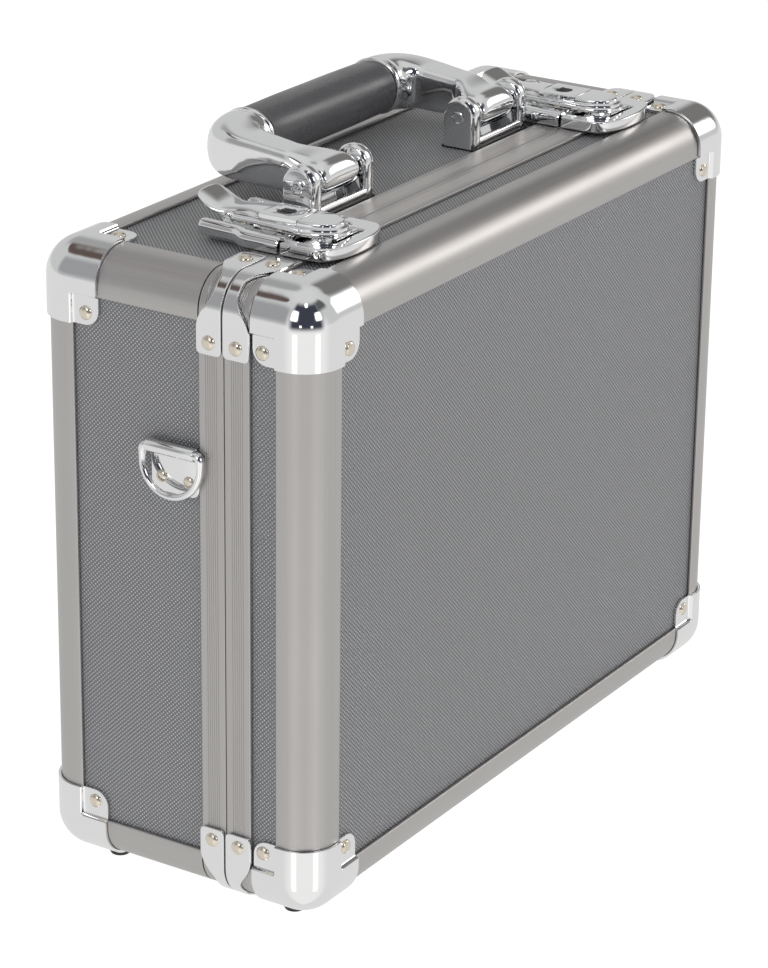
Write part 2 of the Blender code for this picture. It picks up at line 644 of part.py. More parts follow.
def strap_loop(side):
    """A plate folded over into a tube that the ring hangs in. side is 1 on the right end."""
    wall = CASE_LENGTH / 2 - PANEL_INSET + GAP
    z = BOTTOM + RING_AXIS_HEIGHT
    bore = RING_WIRE_RADIUS + GAP
    radius = bore + LOOP_WALL
    centre = (CASE_LENGTH / 2 + RING_AXIS_OUT, z)
    outer = [(wall, z - LOOP_HEIGHT), (wall + LOOP_WALL, z - LOOP_HEIGHT), (wall + LOOP_WALL, z - radius / 2),
             *arc(centre, radius, -150, 120, 12), (wall, z + radius / 2)]
    outer = [(side * a, b) for a, b in outer]
    inner = [(side * a, b) for a, b in arc(centre, bore, 0, 330, 11)]
    y = FRONT + RING_SETBACK
    return prism([outer, inner], "Y", y - LOOP_WIDTH / 2, y + LOOP_WIDTH / 2)


def strap_ring(axis):
    """A D of round wire: its straight bar lies on the axis and its bow hangs below."""
    x, y, z = axis
    half, bend = RING_HALF_WIDTH, 3 * MM
    bow = [(half * math.cos(a), -RING_DROP + half - half * math.sin(a))
           for a in [math.radians(180 * i / 12) for i in range(13)]]
    right = arc((half - bend, -bend), bend, 90, 0, 3)
    left = arc((-half + bend, -bend), bend, 180, 90, 3)
    loop = [(a, b) for a, b in right + bow + left]
    points = [(x, y + a, z + b) for a, b in loop]
    return tube(points, [RING_WIRE_RADIUS] * len(points), closed=True, depth_segments=2)


def strap_rings():
    for name, side in (("left", -1), ("right", 1)):
        axis = (side * (CASE_LENGTH / 2 + RING_AXIS_OUT), FRONT + RING_SETBACK, BOTTOM + RING_AXIS_HEIGHT)
        add(f"strap_loop_{name}", strap_loop(side), CHROME)
        pivot = axis_empty(f"ring_axis_{name}", axis)
        add(f"strap_ring_{name}", strap_ring(axis), CHROME, pivot)


# ---------------------------------------------------------------- inside

def chip_tray(rim_y, leg):
    """A thin tray: half-round channels along X for chips, and a square bay below them, open towards the lid."""
    wall, radius = TRAY_WALL, CHANNEL_RADIUS
    depth = PANEL_INSET + BOARD + TRAY_CLEARANCE
    low_z, high_z = BOTTOM + depth, TOP - depth
    floor = rim_y + radius
    bay_low = low_z + 4 * MM
    bay_high = bay_low + BAY_WIDTH
    inner = [(rim_y, low_z), (rim_y, bay_low), (floor, bay_low), (floor, bay_high), (rim_y, bay_high)]
    outer = [(rim_y + wall, low_z), (rim_y + wall, bay_low - wall), (floor + wall, bay_low - wall),
             (floor + wall, bay_high + wall), (rim_y + wall, bay_high + wall)]
    first = high_z - 4 * MM - radius - (CHANNELS - 1) * CHANNEL_PITCH
    lift = math.degrees(math.asin(wall / (radius + wall)))
    for i in range(CHANNELS):
        centre = (rim_y, first + i * CHANNEL_PITCH)
        inner += arc(centre, radius, -90, 90, 10)
        outer += arc(centre, radius + wall, -90 + lift, 90 - lift, 10)
    inner.append((rim_y, high_z))
    outer.append((rim_y + wall, high_z))
    far_x = RIGHT - depth
    sheet = prism([inner + outer[::-1]], "X", -far_x + wall / 2, far_x - wall / 2)
    changes = []
    lap = TRAY_CLEARANCE / 2
    for low_x in (-far_x, far_x - wall):
        end = box((low_x, rim_y - lap, low_z - lap), (low_x + wall, rim_y + leg, high_z + lap))
        changes.append(("UNION", end))
    return joined(sheet, *changes)


def inside(lid):
    depth = PANEL_INSET + BOARD
    floor = BACK - depth - GAP
    lower_rim = floor - CHANNEL_RADIUS - TRAY_WALL
    add("chip_tray_lower", chip_tray(lower_rim, CHANNEL_RADIUS + TRAY_WALL / 2), TRAY)
    add("chip_tray_upper", chip_tray(lower_rim - TRAY_PITCH, TRAY_PITCH - 3 * GAP), TRAY)
    near = depth + TRAY_CLEARANCE
    lining = box((LEFT + near, FRONT + depth + GAP, BOTTOM + near),
                 (RIGHT - near, FRONT + depth + GAP + LINING_THICKNESS, TOP - near))
    add("lid_lining", lining, FOAM, lid)


# ---------------------------------------------------------------- the case

def build():
    lid = axis_empty("lid_axis", HINGE_AXIS)
    rim = SPLIT_GAP / 2
    inner_back = BACK - PANEL_INSET - BOARD
    inner_front = FRONT + PANEL_INSET + BOARD
    add("body_carcass", carcass(SPLIT - 20 * MM, inner_back, SPLIT + rim, 1), LAMINATE)
    add("lid_carcass", carcass(inner_front, SPLIT + 20 * MM, SPLIT - rim, -1), LAMINATE, lid)
    edge_extrusions("body", BACK, -1, None)
    edge_extrusions("lid", FRONT, 1, lid)
    corner_posts()
    add("body_valance", valance(SPLIT + rim, SPLIT + VALANCE_WIDTH), ALUMINIUM)
    add("lid_valance", valance(SPLIT - VALANCE_WIDTH, SPLIT - rim), ALUMINIUM, lid)
    corner_fittings("body", BACK, -1, BALL_REACH, SPLIT + SPLIT_GAP, SPLIT + VALANCE_WIDTH, None)
    corner_fittings("lid", FRONT, 1, LID_BALL_REACH, FRONT + LID_BALL_REACH + 0.6 * MM, SPLIT - SPLIT_GAP, lid)
    feet("body", BACK - 28 * MM, None)
    feet("lid", FRONT + 23 * MM, lid)
    hinge(lid)
    handle()
    latches(lid)
    strap_rings()
    inside(lid)


build()
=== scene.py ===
"""Looks of the poker chip case: its materials, and detailed pieces in place of the plain CAD nodes.
Everything is in metres in the CAD frame: X along the case, the lid at -Y, Z up."""

import math

import bmesh
import bpy
from mathutils import Matrix, Vector


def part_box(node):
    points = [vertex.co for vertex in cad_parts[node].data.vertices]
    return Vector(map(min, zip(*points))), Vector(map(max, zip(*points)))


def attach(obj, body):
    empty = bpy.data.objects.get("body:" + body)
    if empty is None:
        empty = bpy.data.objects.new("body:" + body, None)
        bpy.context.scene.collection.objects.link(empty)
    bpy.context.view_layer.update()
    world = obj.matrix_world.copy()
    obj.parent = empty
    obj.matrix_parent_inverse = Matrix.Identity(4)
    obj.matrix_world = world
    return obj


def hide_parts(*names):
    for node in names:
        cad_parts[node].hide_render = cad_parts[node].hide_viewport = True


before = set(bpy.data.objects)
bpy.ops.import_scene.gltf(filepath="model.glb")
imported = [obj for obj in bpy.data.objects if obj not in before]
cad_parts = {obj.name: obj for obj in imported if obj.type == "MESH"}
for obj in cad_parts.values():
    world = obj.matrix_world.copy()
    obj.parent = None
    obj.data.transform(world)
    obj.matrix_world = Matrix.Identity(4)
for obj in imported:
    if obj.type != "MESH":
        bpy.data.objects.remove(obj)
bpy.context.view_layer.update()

MM = 0.001

# Faces of the case, from the frame.
LEFT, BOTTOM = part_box("body_valance")[0].x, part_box("body_valance")[0].z
RIGHT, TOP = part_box("body_valance")[1].x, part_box("body_valance")[1].z
FRONT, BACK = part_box("lid_edge_left")[0].y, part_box("body_edge_left")[1].y
SPLIT = (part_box("body_valance")[0].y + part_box("lid_valance")[1].y) / 2

# Sizes that the CAD part is built with.
EDGE_RADIUS = 17 * MM
EDGE_WALL = 1.6 * MM
EDGE_FACE = 21 * MM
VALANCE_WIDTH = 13.5 * MM
GROOVES = 6
GROOVE_PITCH = 1.15 * MM
GROOVE_START = 3.4 * MM
PANEL_INSET = 2 * MM
BOARD = 4.6 * MM
PROUD = 1.6 * MM
FITTING_WALL = 1.3 * MM
BALL_REACH = 35 * MM
LID_BALL_REACH = 33.2 * MM
RIVET_INSET = 27 * MM
UPRIGHT_RIVET_INSET = 29.3 * MM
HALVES = (("body", 1), ("lid", -1))
SIDES = (("left", -1), ("right", 1))


# ---------------- materials

def nodes_for(name, colour, roughness, metallic=0.0, **sockets):
    """A new material, and a function that adds a node to it and links the inputs it is given."""
    made = bpy.data.materials.new(name)
    made.use_nodes = True
    tree = made.node_tree
    shader = tree.nodes["Principled BSDF"]
    values = {"Base Color": (*colour, 1), "Roughness": roughness, "Metallic": metallic, **sockets}
    for socket, value in values.items():
        shader.inputs[socket].default_value = value
    return made, shader, adder(tree)


def adder(tree):
    def add(kind, inputs=None, output=0, **settings):
        node = tree.nodes.new(kind)
        for key, value in settings.items():
            setattr(node, key, value)
        for socket, value in (inputs or {}).items():
            if isinstance(value, bpy.types.NodeSocket):
                tree.links.new(value, node.inputs[socket])
            else:
                node.inputs[socket].default_value = value
        return node.outputs[output]

    add.link = tree.links.new
    return add


def maths(add, operation, *values):
    return add("ShaderNodeMath", dict(enumerate(values)), operation=operation)


def remap(add, value, low, high, to_low, to_high, smooth=False):
    kind = "SMOOTHSTEP" if smooth else "LINEAR"
    inputs = {"Value": value, "From Min": low, "From Max": high, "To Min": to_low, "To Max": to_high}
    return add("ShaderNodeMapRange", inputs, interpolation_type=kind)


def noise(add, scale, detail=3.0, stretch=(1, 1, 1)):
    place = add("ShaderNodeTexCoord", output=3)
    if stretch != (1, 1, 1):
        place = add("ShaderNodeMapping", {"Vector": place, "Scale": stretch})
    return add("ShaderNodeTexNoise", {"Vector": place, "Scale": scale, "Detail": detail})


def mixed(add, factor, first, second):
    """A blend of two colours, each of them three numbers or another node's output."""
    first, second = [(*colour, 1) if isinstance(colour, tuple) else colour for colour in (first, second)]
    return add("ShaderNodeMix", {"Factor": factor, 6: first, 7: second}, output=2, data_type="RGBA")


def between(add, factor, first, second):
    """The first number where the factor is 0, and the second where it is 1."""
    return add("ShaderNodeMix", {"Factor": factor, 2: first, 3: second}, output=0)


def bumped(add, shader, height, distance, strength=1.0):
    made = add("ShaderNodeBump", {"Height": height, "Distance": distance, "Strength": strength})
    add.link(made, shader.inputs["Normal"])


def chrome():
    """Bright plating, with the slight waviness and polishing haze of pressed and cast parts."""
    made, shader, add = nodes_for("chrome", (0.86, 0.865, 0.87), 0.06, 1.0)
    haze = noise(add, 90, 4)
    add.link(remap(add, haze, 0.35, 0.75, 0.035, 0.10), shader.inputs["Roughness"])
    bumped(add, shader, noise(add, 140, 1), 0.05 * MM, 0.6)
    return made


def nickel():
    """The warm plating of the rivets."""
    made, shader, add = nodes_for("rivet_nickel", (0.78, 0.71, 0.60), 0.2, 1.0)
    add.link(remap(add, noise(add, 400, 3), 0.3, 0.7, 0.14, 0.30), shader.inputs["Roughness"])
    return made


def groove_mask(add):
    """1 in the grooves of the valances and 0 beside them."""
    place = add("ShaderNodeTexCoord", output=3)
    depth = add("ShaderNodeSeparateXYZ", {"Vector": place}, output=1)
    away = maths(add, "ABSOLUTE", maths(add, "SUBTRACT", depth, SPLIT))
    turns = maths(add, "DIVIDE", maths(add, "SUBTRACT", away, GROOVE_START), GROOVE_PITCH)
    off_middle = maths(add, "ABSOLUTE", maths(add, "SUBTRACT", maths(add, "FRACT", turns), 0.5))
    line = remap(add, off_middle, 0.12, 0.24, 1, 0, smooth=True)
    after_first = maths(add, "GREATER_THAN", turns, 0)
    before_last = maths(add, "LESS_THAN", turns, GROOVES)
    return maths(add, "MULTIPLY", line, maths(add, "MULTIPLY", after_first, before_last))


def satin(name, stretch, grooved=False):
    """Fine satin anodised aluminium. stretch is small along the brushing, and grooved pieces get painted
    shade in their grooves.
    """
    made, shader, add = nodes_for(name, (0.53, 0.515, 0.505), 0.4, 1.0)
    lines = noise(add, 1, 3, stretch)
    cloud = noise(add, 14, 2)
    tone = mixed(add, remap(add, lines, 0.3, 0.7, 0, 1), (0.515, 0.50, 0.49), (0.545, 0.53, 0.52))
    if grooved:
        # Painted shade: the colour in the grooves is darkened towards a dark grey, where shade would fall.
        painted_groove_shade = maths(add, "MULTIPLY", groove_mask(add), 0.45)
        tone = mixed(add, painted_groove_shade, tone, (0.25, 0.24, 0.235))
    add.link(tone, shader.inputs["Base Color"])
    brushed = remap(add, lines, 0.3, 0.7, 0.37, 0.41)
    worn = remap(add, cloud, 0.3, 0.7, -0.02, 0.03)
    add.link(maths(add, "ADD", brushed, worn), shader.inputs["Roughness"])
    bumped(add, shader, lines, 0.01 * MM, 0.2)
    return made


def laminate():
    """Grey laminate, embossed with a close diagonal weave of small glossy tips. One diagonal is stronger on
    the top, and the tips are smaller on the ends.
    Its colour holds painted light: a painted highlight on the tips, white on the ends, and painted shade in
    the pits, weaker on the ends and the top."""
    made, shader, add = nodes_for("grey_laminate", (0.15, 0.155, 0.165), 0.38)
    pitch = 2.15 * MM
    place = add("ShaderNodeTexCoord", output=3)
    facing = add("ShaderNodeTexCoord", output=1)
    parts = add("ShaderNodeSeparateXYZ", {"Vector": place}).node.outputs
    normal = add("ShaderNodeSeparateXYZ", {"Vector": facing}).node.outputs
    is_end = maths(add, "GREATER_THAN", maths(add, "ABSOLUTE", normal[0]), 0.6)
    is_top = maths(add, "GREATER_THAN", maths(add, "ABSOLUTE", normal[2]), 0.6)
    across = between(add, is_end, parts[0], parts[1])
    backward = maths(add, "MULTIPLY", parts[1], -1)
    upward = between(add, is_top, parts[2], backward)
    turn = 2 * math.pi / pitch
    ribs = maths(add, "COSINE", maths(add, "MULTIPLY", maths(add, "ADD", across, upward), turn))
    crossing = maths(add, "COSINE", maths(add, "MULTIPLY", maths(add, "SUBTRACT", across, upward), turn))
    lattice = between(add, between(add, is_top, 0.5, 0.8), crossing, ribs)
    tips = remap(add, lattice, between(add, is_end, 0.22, 0.64), 0.93, 0, 1, smooth=True)
    pits = remap(add, lattice, -0.1, -0.9, 0, 1, smooth=True)
    grain = noise(add, 900, 3)
    base = mixed(add, remap(add, grain, 0.3, 0.7, 0, 1), (0.184, 0.187, 0.194), (0.228, 0.231, 0.240))
    # Painted shade in the pits: their colour is darkened, less on the ends and the top than on the front and
    # back.
    depth = maths(add, "MULTIPLY", pits, between(add, maths(add, "MAXIMUM", is_end, is_top), 0.8, 0.45))
    shaded = mixed(add, depth, base, (0.065, 0.067, 0.072))
    # Painted highlight on the tips: light grey on the top and front, white on the ends.
    tip_highlight = mixed(add, is_end, (0.58, 0.58, 0.59), (1.0, 1.0, 1.0))
    add.link(mixed(add, tips, shaded, tip_highlight), shader.inputs["Base Color"])
    add.link(remap(add, tips, 0, 1, 0.42, 0.24), shader.inputs["Roughness"])
    height = maths(add, "SUBTRACT", tips, maths(add, "MULTIPLY", pits, 0.35))
    relief = maths(add, "ADD", height, maths(add, "MULTIPLY", grain, 0.08))
    bumped(add, shader, relief, 0.24 * MM)
    return made


def rubber(name, colour, roughness, grain_scale, grain_depth):
    """Black rubber or moulded plastic with a fine grain."""
    made, shader, add = nodes_for(name, colour, roughness)
    grain = noise(add, grain_scale, 4)
    worn = noise(add, 30, 2)
    add.link(remap(add, worn, 0.3, 0.7, roughness - 0.06, roughness + 0.08), shader.inputs["Roughness"])
    lighter = tuple(channel * 1.35 for channel in colour)
    add.link(mixed(add, remap(add, grain, 0.35, 0.65, 0, 1), colour, lighter), shader.inputs["Base Color"])
    bumped(add, shader, grain, grain_depth)
    return made


def foam():
    """Open-cell foam: matt, with fine pores that are darkened with painted shade."""
    made, shader, add = nodes_for("dark_foam", (0.035, 0.035, 0.038), 0.95, **{"Sheen Weight": 0.25})
    place = add("ShaderNodeTexCoord", output=3)
    cells = add("ShaderNodeTexVoronoi", {"Vector": place, "Scale": 900})
    # Painted shade in the pores: the colour is darkest at the cell centres, where the bump dips.
    tone = mixed(add, remap(add, cells, 0, 0.6, 0, 1), (0.012, 0.012, 0.013), (0.05, 0.05, 0.054))
    add.link(tone, shader.inputs["Base Color"])
    bumped(add, shader, cells, 0.5 * MM)
    return made


def steel():
    """Drawn steel of the hinge, with lines along the case."""
    made, shader, add = nodes_for("steel_pin", (0.55, 0.55, 0.56), 0.3, 1.0)
    lines = noise(add, 1, 3, (30, 900, 900))
    add.link(remap(add, lines, 0.3, 0.7, 0.2, 0.4), shader.inputs["Roughness"])
    bumped(add, shader, lines, 0.02 * MM)
    return made


CHROME = chrome()
NICKEL = nickel()
SATIN_X = satin("satin_aluminium_x", (6, 900, 900))
SATIN_Y = satin("satin_aluminium_y", (900, 6, 900))
SATIN_Z = satin("satin_aluminium_z", (900, 900, 6))
SATIN_ROUND = satin("satin_aluminium_round", (6, 900, 6), grooved=True)
LAMINATE = laminate()
RUBBER = rubber("black_rubber", (0.012, 0.012, 0.012), 0.65, 1500, 0.08 * MM)
GRIP = rubber("black_grip", (0.095, 0.095, 0.100), 0.28, 700, 0.03 * MM)
TRAY = rubber("black_tray", (0.014, 0.014, 0.015), 0.42, 1800, 0.05 * MM)
LINING = rubber("black_lining", (0.016, 0.016, 0.018), 0.85, 2500, 0.15 * MM)
FOAM = foam()
STEEL = steel()
PLUG = rubber("dark_plug", (0.035, 0.035, 0.037), 0.55, 600, 0.02 * MM)

# The record's material slot of each finish.
SLOTS = {CHROME: "chrome", RUBBER: "black_rubber", GRIP: "black_grip", LINING: "black_tray",
         FOAM: "dark_foam", **dict.fromkeys((NICKEL, STEEL, PLUG), "steel"),
         **dict.fromkeys((SATIN_X, SATIN_Y, SATIN_Z, SATIN_ROUND), "satin_aluminium")}


# ---------------- mesh tools

def mesh_from(bm):
    bmesh.ops.recalc_face_normals(bm, faces=bm.faces)
    mesh = bpy.data.meshes.new("shape")
    bm.to_mesh(mesh)
    bm.free()
    return mesh


def piece(name, mesh, look, body, *stands_for, sharp=35):
    """A named, smooth-shaded piece that rides on a body and may stand for CAD nodes."""
    mesh.name = name
    mesh.materials.clear()
    mesh.materials.append(look)
    mesh.shade_smooth()
    mesh.set_sharp_from_angle(angle=math.radians(sharp))
    made = bpy.data.objects.new(name, mesh)
    bpy.context.scene.collection.objects.link(made)
    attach(made, body)
    if stands_for:
        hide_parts(*stands_for)
    return made


def bevel_edges(obj, width, segments=2, angle=40):
    bevel = obj.modifiers.new("soft_edges", "BEVEL")
    bevel.width = width
    bevel.segments = segments
    bevel.limit_method = "ANGLE"
    bevel.angle_limit = math.radians(angle)
    return bevel


def softened(obj, width, segments):
    """Rounds the piece's edges and keeps its flat faces flat."""
    bevel_edges(obj, width, segments).miter_outer = "MITER_ARC"
    obj.data.shade_smooth()
    for edge in obj.data.edges:
        edge.use_edge_sharp = False
    obj.modifiers.new("flat_faces", "WEIGHTED_NORMAL").keep_sharp = False


def with_round_edges(mesh, width):
    """The mesh after a small bevel on its sharp edges."""
    holder = bpy.data.objects.new("rounded", mesh)
    bevel_edges(holder, width)
    return evaluated_mesh(holder)


def thickened(obj, thickness, rim=0.25 * MM):
    """A wall behind a sheet, with a small radius on its rim."""
    wall = obj.modifiers.new("wall", "SOLIDIFY")
    wall.thickness = thickness
    wall.offset = -1
    wall.use_even_offset = True
    wall.use_quality_normals = True
    bevel_edges(obj, rim, angle=60)


def skin(bm, rows, closed=False):
    """Faces between neighbouring rows of vertices. closed joins each row's ends."""
    for near, far in zip(rows, rows[1:]):
        for i in range(len(near) if closed else len(near) - 1):
            j = (i + 1) % len(near)
            bm.faces.new((near[i], near[j], far[j], far[i]))


def loft(rings, closed=False, looped=False, caps=False):
    """Faces between rings of points. closed joins each ring's ends, and looped joins the last ring to the
    first."""
    bm = bmesh.new()
    made = [[bm.verts.new(point) for point in ring] for ring in rings]
    skin(bm, made + made[:1] if looped else made, closed)
    if caps:
        bm.faces.new(made[0][::-1])
        bm.faces.new(made[-1])
    return mesh_from(bm)


def turns(count):
    """Angles that divide a full turn."""
    return [2 * math.pi * i / count for i in range(count)]


def arc(centre, radius, start, end, steps):
    """Points of an arc, with its angles in degrees, its ends included."""
    angles = [math.radians(start + (end - start) * i / steps) for i in range(steps + 1)]
    return [(centre[0] + radius * math.cos(a), centre[1] + radius * math.sin(a)) for a in angles]


def rounded(corners):
    """A closed outline from its corners, each a, b and the radius that it is rounded to."""
    outline = []
    for i, (a, b, radius) in enumerate(corners):
        here = Vector((a, b))
        if radius == 0:
            outline.append((a, b))
            continue
        before = (Vector(corners[i - 1][:2]) - here).normalized()
        after = (Vector(corners[(i + 1) % len(corners)][:2]) - here).normalized()
        half = before.angle(after) / 2
        middle = here + (before + after).normalized() * (radius / math.sin(half))
        reach = radius / math.tan(half)
        start = here + before * reach - middle
        end = here + after * reach - middle
        steps = 3 if radius < 1 * MM else 6 if radius < 6 * MM else 14
        spokes = [start.slerp(end, step / steps).normalized() for step in range(steps + 1)]
        outline += [tuple(middle + radius * spoke) for spoke in spokes]
    return outline


def prism(loops, along, near, far):
    """Closed outlines, extruded along an axis between two places in either order. A point is (y, z) along X,
    (x, z) along Y and (x, y) along Z."""
    curve = bpy.data.curves.new("outline", "CURVE")
    curve.dimensions = "2D"
    curve.fill_mode = "BOTH"
    curve.extrude = abs(far - near) / 2
    for loop in loops:
        spline = curve.splines.new("POLY")
        spline.points.add(len(loop) - 1)
        for point, (a, b) in zip(spline.points, loop):
            point.co = (a, b, 0, 1)
        spline.use_cyclic_u = True
    holder = bpy.data.objects.new("outline", curve)
    middle = (near + far) / 2
    quarter = math.radians(90)
    holder.rotation_euler = {"X": (quarter, 0, quarter), "Y": (quarter, 0, 0), "Z": (0, 0, 0)}[along]
    holder.location = {"X": (middle, 0, 0), "Y": (0, middle, 0), "Z": (0, 0, middle)}[along]
    return cleaned(evaluated_mesh(holder), 0.001 * MM)


def cleaned(mesh, distance):
    """The mesh with vertices this close merged, and with the edges inside its flat faces dissolved."""
    bm = bmesh.new()
    bm.from_mesh(mesh)
    bpy.data.meshes.remove(mesh)
    bmesh.ops.remove_doubles(bm, verts=bm.verts, dist=distance)
    bmesh.ops.dissolve_limit(bm, angle_limit=math.radians(0.5), verts=bm.verts, edges=bm.edges)
    return mesh_from(bm)


def evaluated_mesh(holder):
    """The object's mesh with its modifiers, in world space. The object is removed."""
    bpy.context.scene.collection.objects.link(holder)
    bpy.context.view_layer.update()
    evaluated = holder.evaluated_get(bpy.context.evaluated_depsgraph_get())
    mesh = bpy.data.meshes.new_from_object(evaluated)
    mesh.transform(holder.matrix_world)
    bpy.data.objects.remove(holder)
    return mesh


def joined(base, *changes):
    """The base mesh after its Boolean changes, each a pair such as ("UNION", mesh)."""
    target = bpy.data.objects.new("base", base)
    others = []
    for operation, mesh in changes:
        other = bpy.data.objects.new("cutter", mesh)
        bpy.context.scene.collection.objects.link(other)
        others.append(other)
        boolean = target.modifiers.new(operation.lower(), "BOOLEAN")
        boolean.operation = operation
        boolean.object = other
    result = evaluated_mesh(target)
    for obj in others:
        bpy.data.objects.remove(obj)
    return cleaned(result, 0.002 * MM)


def together(meshes):
    """One mesh of several separate shapes."""
    bm = bmesh.new()
    for mesh in meshes:
        bm.from_mesh(mesh)
        bpy.data.meshes.remove(mesh)
    made = bpy.data.meshes.new("shapes")
    bm.to_mesh(made)
    bm.free()
    return made


def placed(mesh, place=(0, 0, 0), signs=(1, 1, 1)):
    """The mesh, mirrored along the axes where the sign is -1, and then moved."""
    mesh.transform(Matrix.Diagonal((*signs, 1)))
    if math.prod(signs) < 0:
        mesh.flip_normals()
    mesh.transform(Matrix.Translation(place))
    return mesh


def box(corner, opposite):
    low, high = [Vector(map(pick, corner, opposite)) for pick in (min, max)]
    bm = bmesh.new()
    size = Matrix.Diagonal((*(high - low), 1))
    bmesh.ops.create_cube(bm, size=1, matrix=Matrix.Translation((low + high) / 2) @ size)
    return mesh_from(bm)


def lathe(profile, centre, axis, segments=32):
    """A shape turned about an axis through the centre, from (radius, height) points in millimetres."""
    turn = Vector((0, 0, 1)).rotation_difference(Vector(axis)).to_matrix().to_4x4()
    place = Matrix.Translation(centre) @ turn
    rings = []
    for radius, height in profile:
        ring = [Vector((radius * math.cos(a), radius * math.sin(a), height)) for a in turns(segments)]
        rings.append([place @ (point * MM) for point in ring])
    return loft(rings, closed=True, caps=True)


def rod_profile(radius, length, chamfer):
    """(radius, height) points of a rod with chamfered ends, in millimetres."""
    return [(radius - chamfer, 0), (radius, chamfer), (radius, length - chamfer), (radius - chamfer, length)]


def rivet(centre, axis, radius=3.4, height=1.6):
    """A domed rivet head. Its radius and height are in millimetres."""
    dome = [(radius * 0.985 * a, 0.15 + (height - 0.15) * b) for a, b in arc((0, 0), 1, 0, 84, 8)]
    return lathe([(radius * 0.97, -0.4), (radius, 0.05), *dome], centre, axis, 24)


def signed_power(value, exponent):
    return math.copysign(abs(value) ** exponent, value)


def smooth_step(value, low, high):
    t = min(max((value - low) / (high - low), 0), 1)
    return t * t * (3 - 2 * t)


# ---------------- shell

def strip_outline(corner, inward):
    """The section of an edge extrusion at a corner of the case, with softly rounded lips."""
    tip = 0.6 * MM
    wall = EDGE_WALL
    section = [(0, EDGE_FACE, tip), (0, 0, EDGE_RADIUS), (EDGE_FACE, 0, tip), (EDGE_FACE, wall, tip / 2),
               (wall, wall, EDGE_RADIUS - wall), (wall, EDGE_FACE, tip / 2)]
    return [(corner[0] + inward[0] * a, corner[1] + inward[1] * b) for a, b in rounded(section)]


def edge_extrusions():
    start = EDGE_FACE + 0.3 * MM
    for half, out in HALVES:
        y = BACK if out > 0 else FRONT
        for level, z, up in (("top", TOP, -1), ("bottom", BOTTOM, 1)):
            mesh = prism([strip_outline((y, z), (-out, up))], "X", LEFT + start, RIGHT - start)
            node = f"{half}_edge_{level}"
            piece(f"{node}_strip", mesh, SATIN_X, half, node)
        for side, sign in SIDES:
            x = RIGHT if sign > 0 else LEFT
            mesh = prism([strip_outline((x, y), (-sign, -out))], "Z", BOTTOM + start, TOP - start)
            node = f"{half}_edge_{side}"
            piece(f"{node}_strip", mesh, SATIN_Z, half, node)


def case_corners():
    """The corners of the case seen from the front: (name, x, z, and the signs that point inwards)."""
    for side, sign in SIDES:
        for level, z, sz in (("bottom", BOTTOM, 1), ("top", TOP, -1)):
            yield f"{level}_{side}", RIGHT if sign > 0 else LEFT, z, -sign, sz


def corner_posts():
    for name, x, z, sx, sz in case_corners():
        low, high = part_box(f"corner_post_{name}")
        mesh = prism([strip_outline((x, z), (sx, sz))], "Y", low.y, high.y)
        piece(f"corner_post_{name}_strip", mesh, SATIN_Y, "body", f"corner_post_{name}")


def around_case(section, steps=12):
    """Rings that carry a section of (y, outward) points round the rounded rectangle of the case."""
    low, high = LEFT + EDGE_RADIUS, RIGHT - EDGE_RADIUS
    bottom, top = BOTTOM + EDGE_RADIUS, TOP - EDGE_RADIUS
    rings = []
    for x, z, start in ((high, bottom, -90), (high, top, 0), (low, top, 90), (low, bottom, 180)):
        for step in range(steps + 1):
            angle = math.radians(start + 90 * step / steps)
            reaches = [(EDGE_RADIUS + outward, y) for y, outward in section]
            rings.append([(x + r * math.cos(angle), y, z + r * math.sin(angle)) for r, y in reaches])
    return rings


def valance_section():
    """(distance from the parting line, outward) points of a valance: fine grooves between two smooth bands,
    a rounded far lip, and a web that turns in beside the parting line."""
    depth, half = 0.2 * MM, 0.27 * MM
    points = [(0.15 * MM, -0.45 * MM), (0.25 * MM, -0.15 * MM), (0.5 * MM, 0)]
    for i in range(GROOVES):
        middle = GROOVE_START + (i + 0.5) * GROOVE_PITCH
        groove = ((-half, 0), (-half * 0.3, -depth), (half * 0.3, -depth), (half, 0))
        points += [(middle + along, outward) for along, outward in groove]
    far = VALANCE_WIDTH
    points += [(far - 0.6 * MM, 0), (far - 0.15 * MM, -0.2 * MM), (far, -0.6 * MM), (far, -EDGE_WALL)]
    return points + [(1.4 * MM, -EDGE_WALL), (1.4 * MM, -7 * MM), (0.15 * MM, -7 * MM)]


def valances():
    for half, out in HALVES:
        section = [(SPLIT + out * y, outward) for y, outward in valance_section()]
        mesh = loft(around_case(section), closed=True, looped=True)
        piece(f"{half}_valance_band", mesh, SATIN_ROUND, half, f"{half}_valance", sharp=12)


# ---------------- corner fittings

# A ball corner's ears step down from its rounded part onto the panels, where their pads are riveted.
PAD_START = 20.4 * MM
PAD_STEP = 1.2 * MM
PAD_DROP = 2.1 * MM
EAR_RADIUS = 7.5 * MM
FITTING_RADIUS = EDGE_RADIUS + PROUD


def ball_lines(reach):
    """Distances from the corner of the grid lines on one face of a ball corner."""
    turn = [FITTING_RADIUS * (1 - math.tan(math.radians(45 - 45 * i / 9))) for i in range(10)]
    step = [PAD_START + PROUD + i * 0.35 * MM for i in range(-1, 5)]
    ear = [reach + PROUD - EAR_RADIUS * (1 - math.sin(math.radians(90 * i / 7))) for i in range(8)]
    return turn + step + ear


def ball_point(a, b, reach_a, reach_b):
    """A point of the cap on the face where the third coordinate is lowest, from grid distances a and b."""
    u, v = [(value - reach - PROUD) / EAR_RADIUS + 1 for value, reach in ((a, reach_a), (b, reach_b))]
    if u > 0 and v > 0:
        a += EAR_RADIUS * (u * math.sqrt(1 - v * v / 2) - u)
        b += EAR_RADIUS * (v * math.sqrt(1 - u * u / 2) - v)
    core = Vector((max(a, FITTING_RADIUS), max(b, FITTING_RADIUS), FITTING_RADIUS))
    spoke = (Vector((a, b, 0)) - core).normalized() * FITTING_RADIUS
    drop = PAD_DROP
    for value in (a, b):
        drop *= smooth_step(value - PROUD, PAD_START, PAD_START + PAD_STEP)
    return core + spoke + Vector((0, 0, drop)) - Vector((PROUD,) * 3)


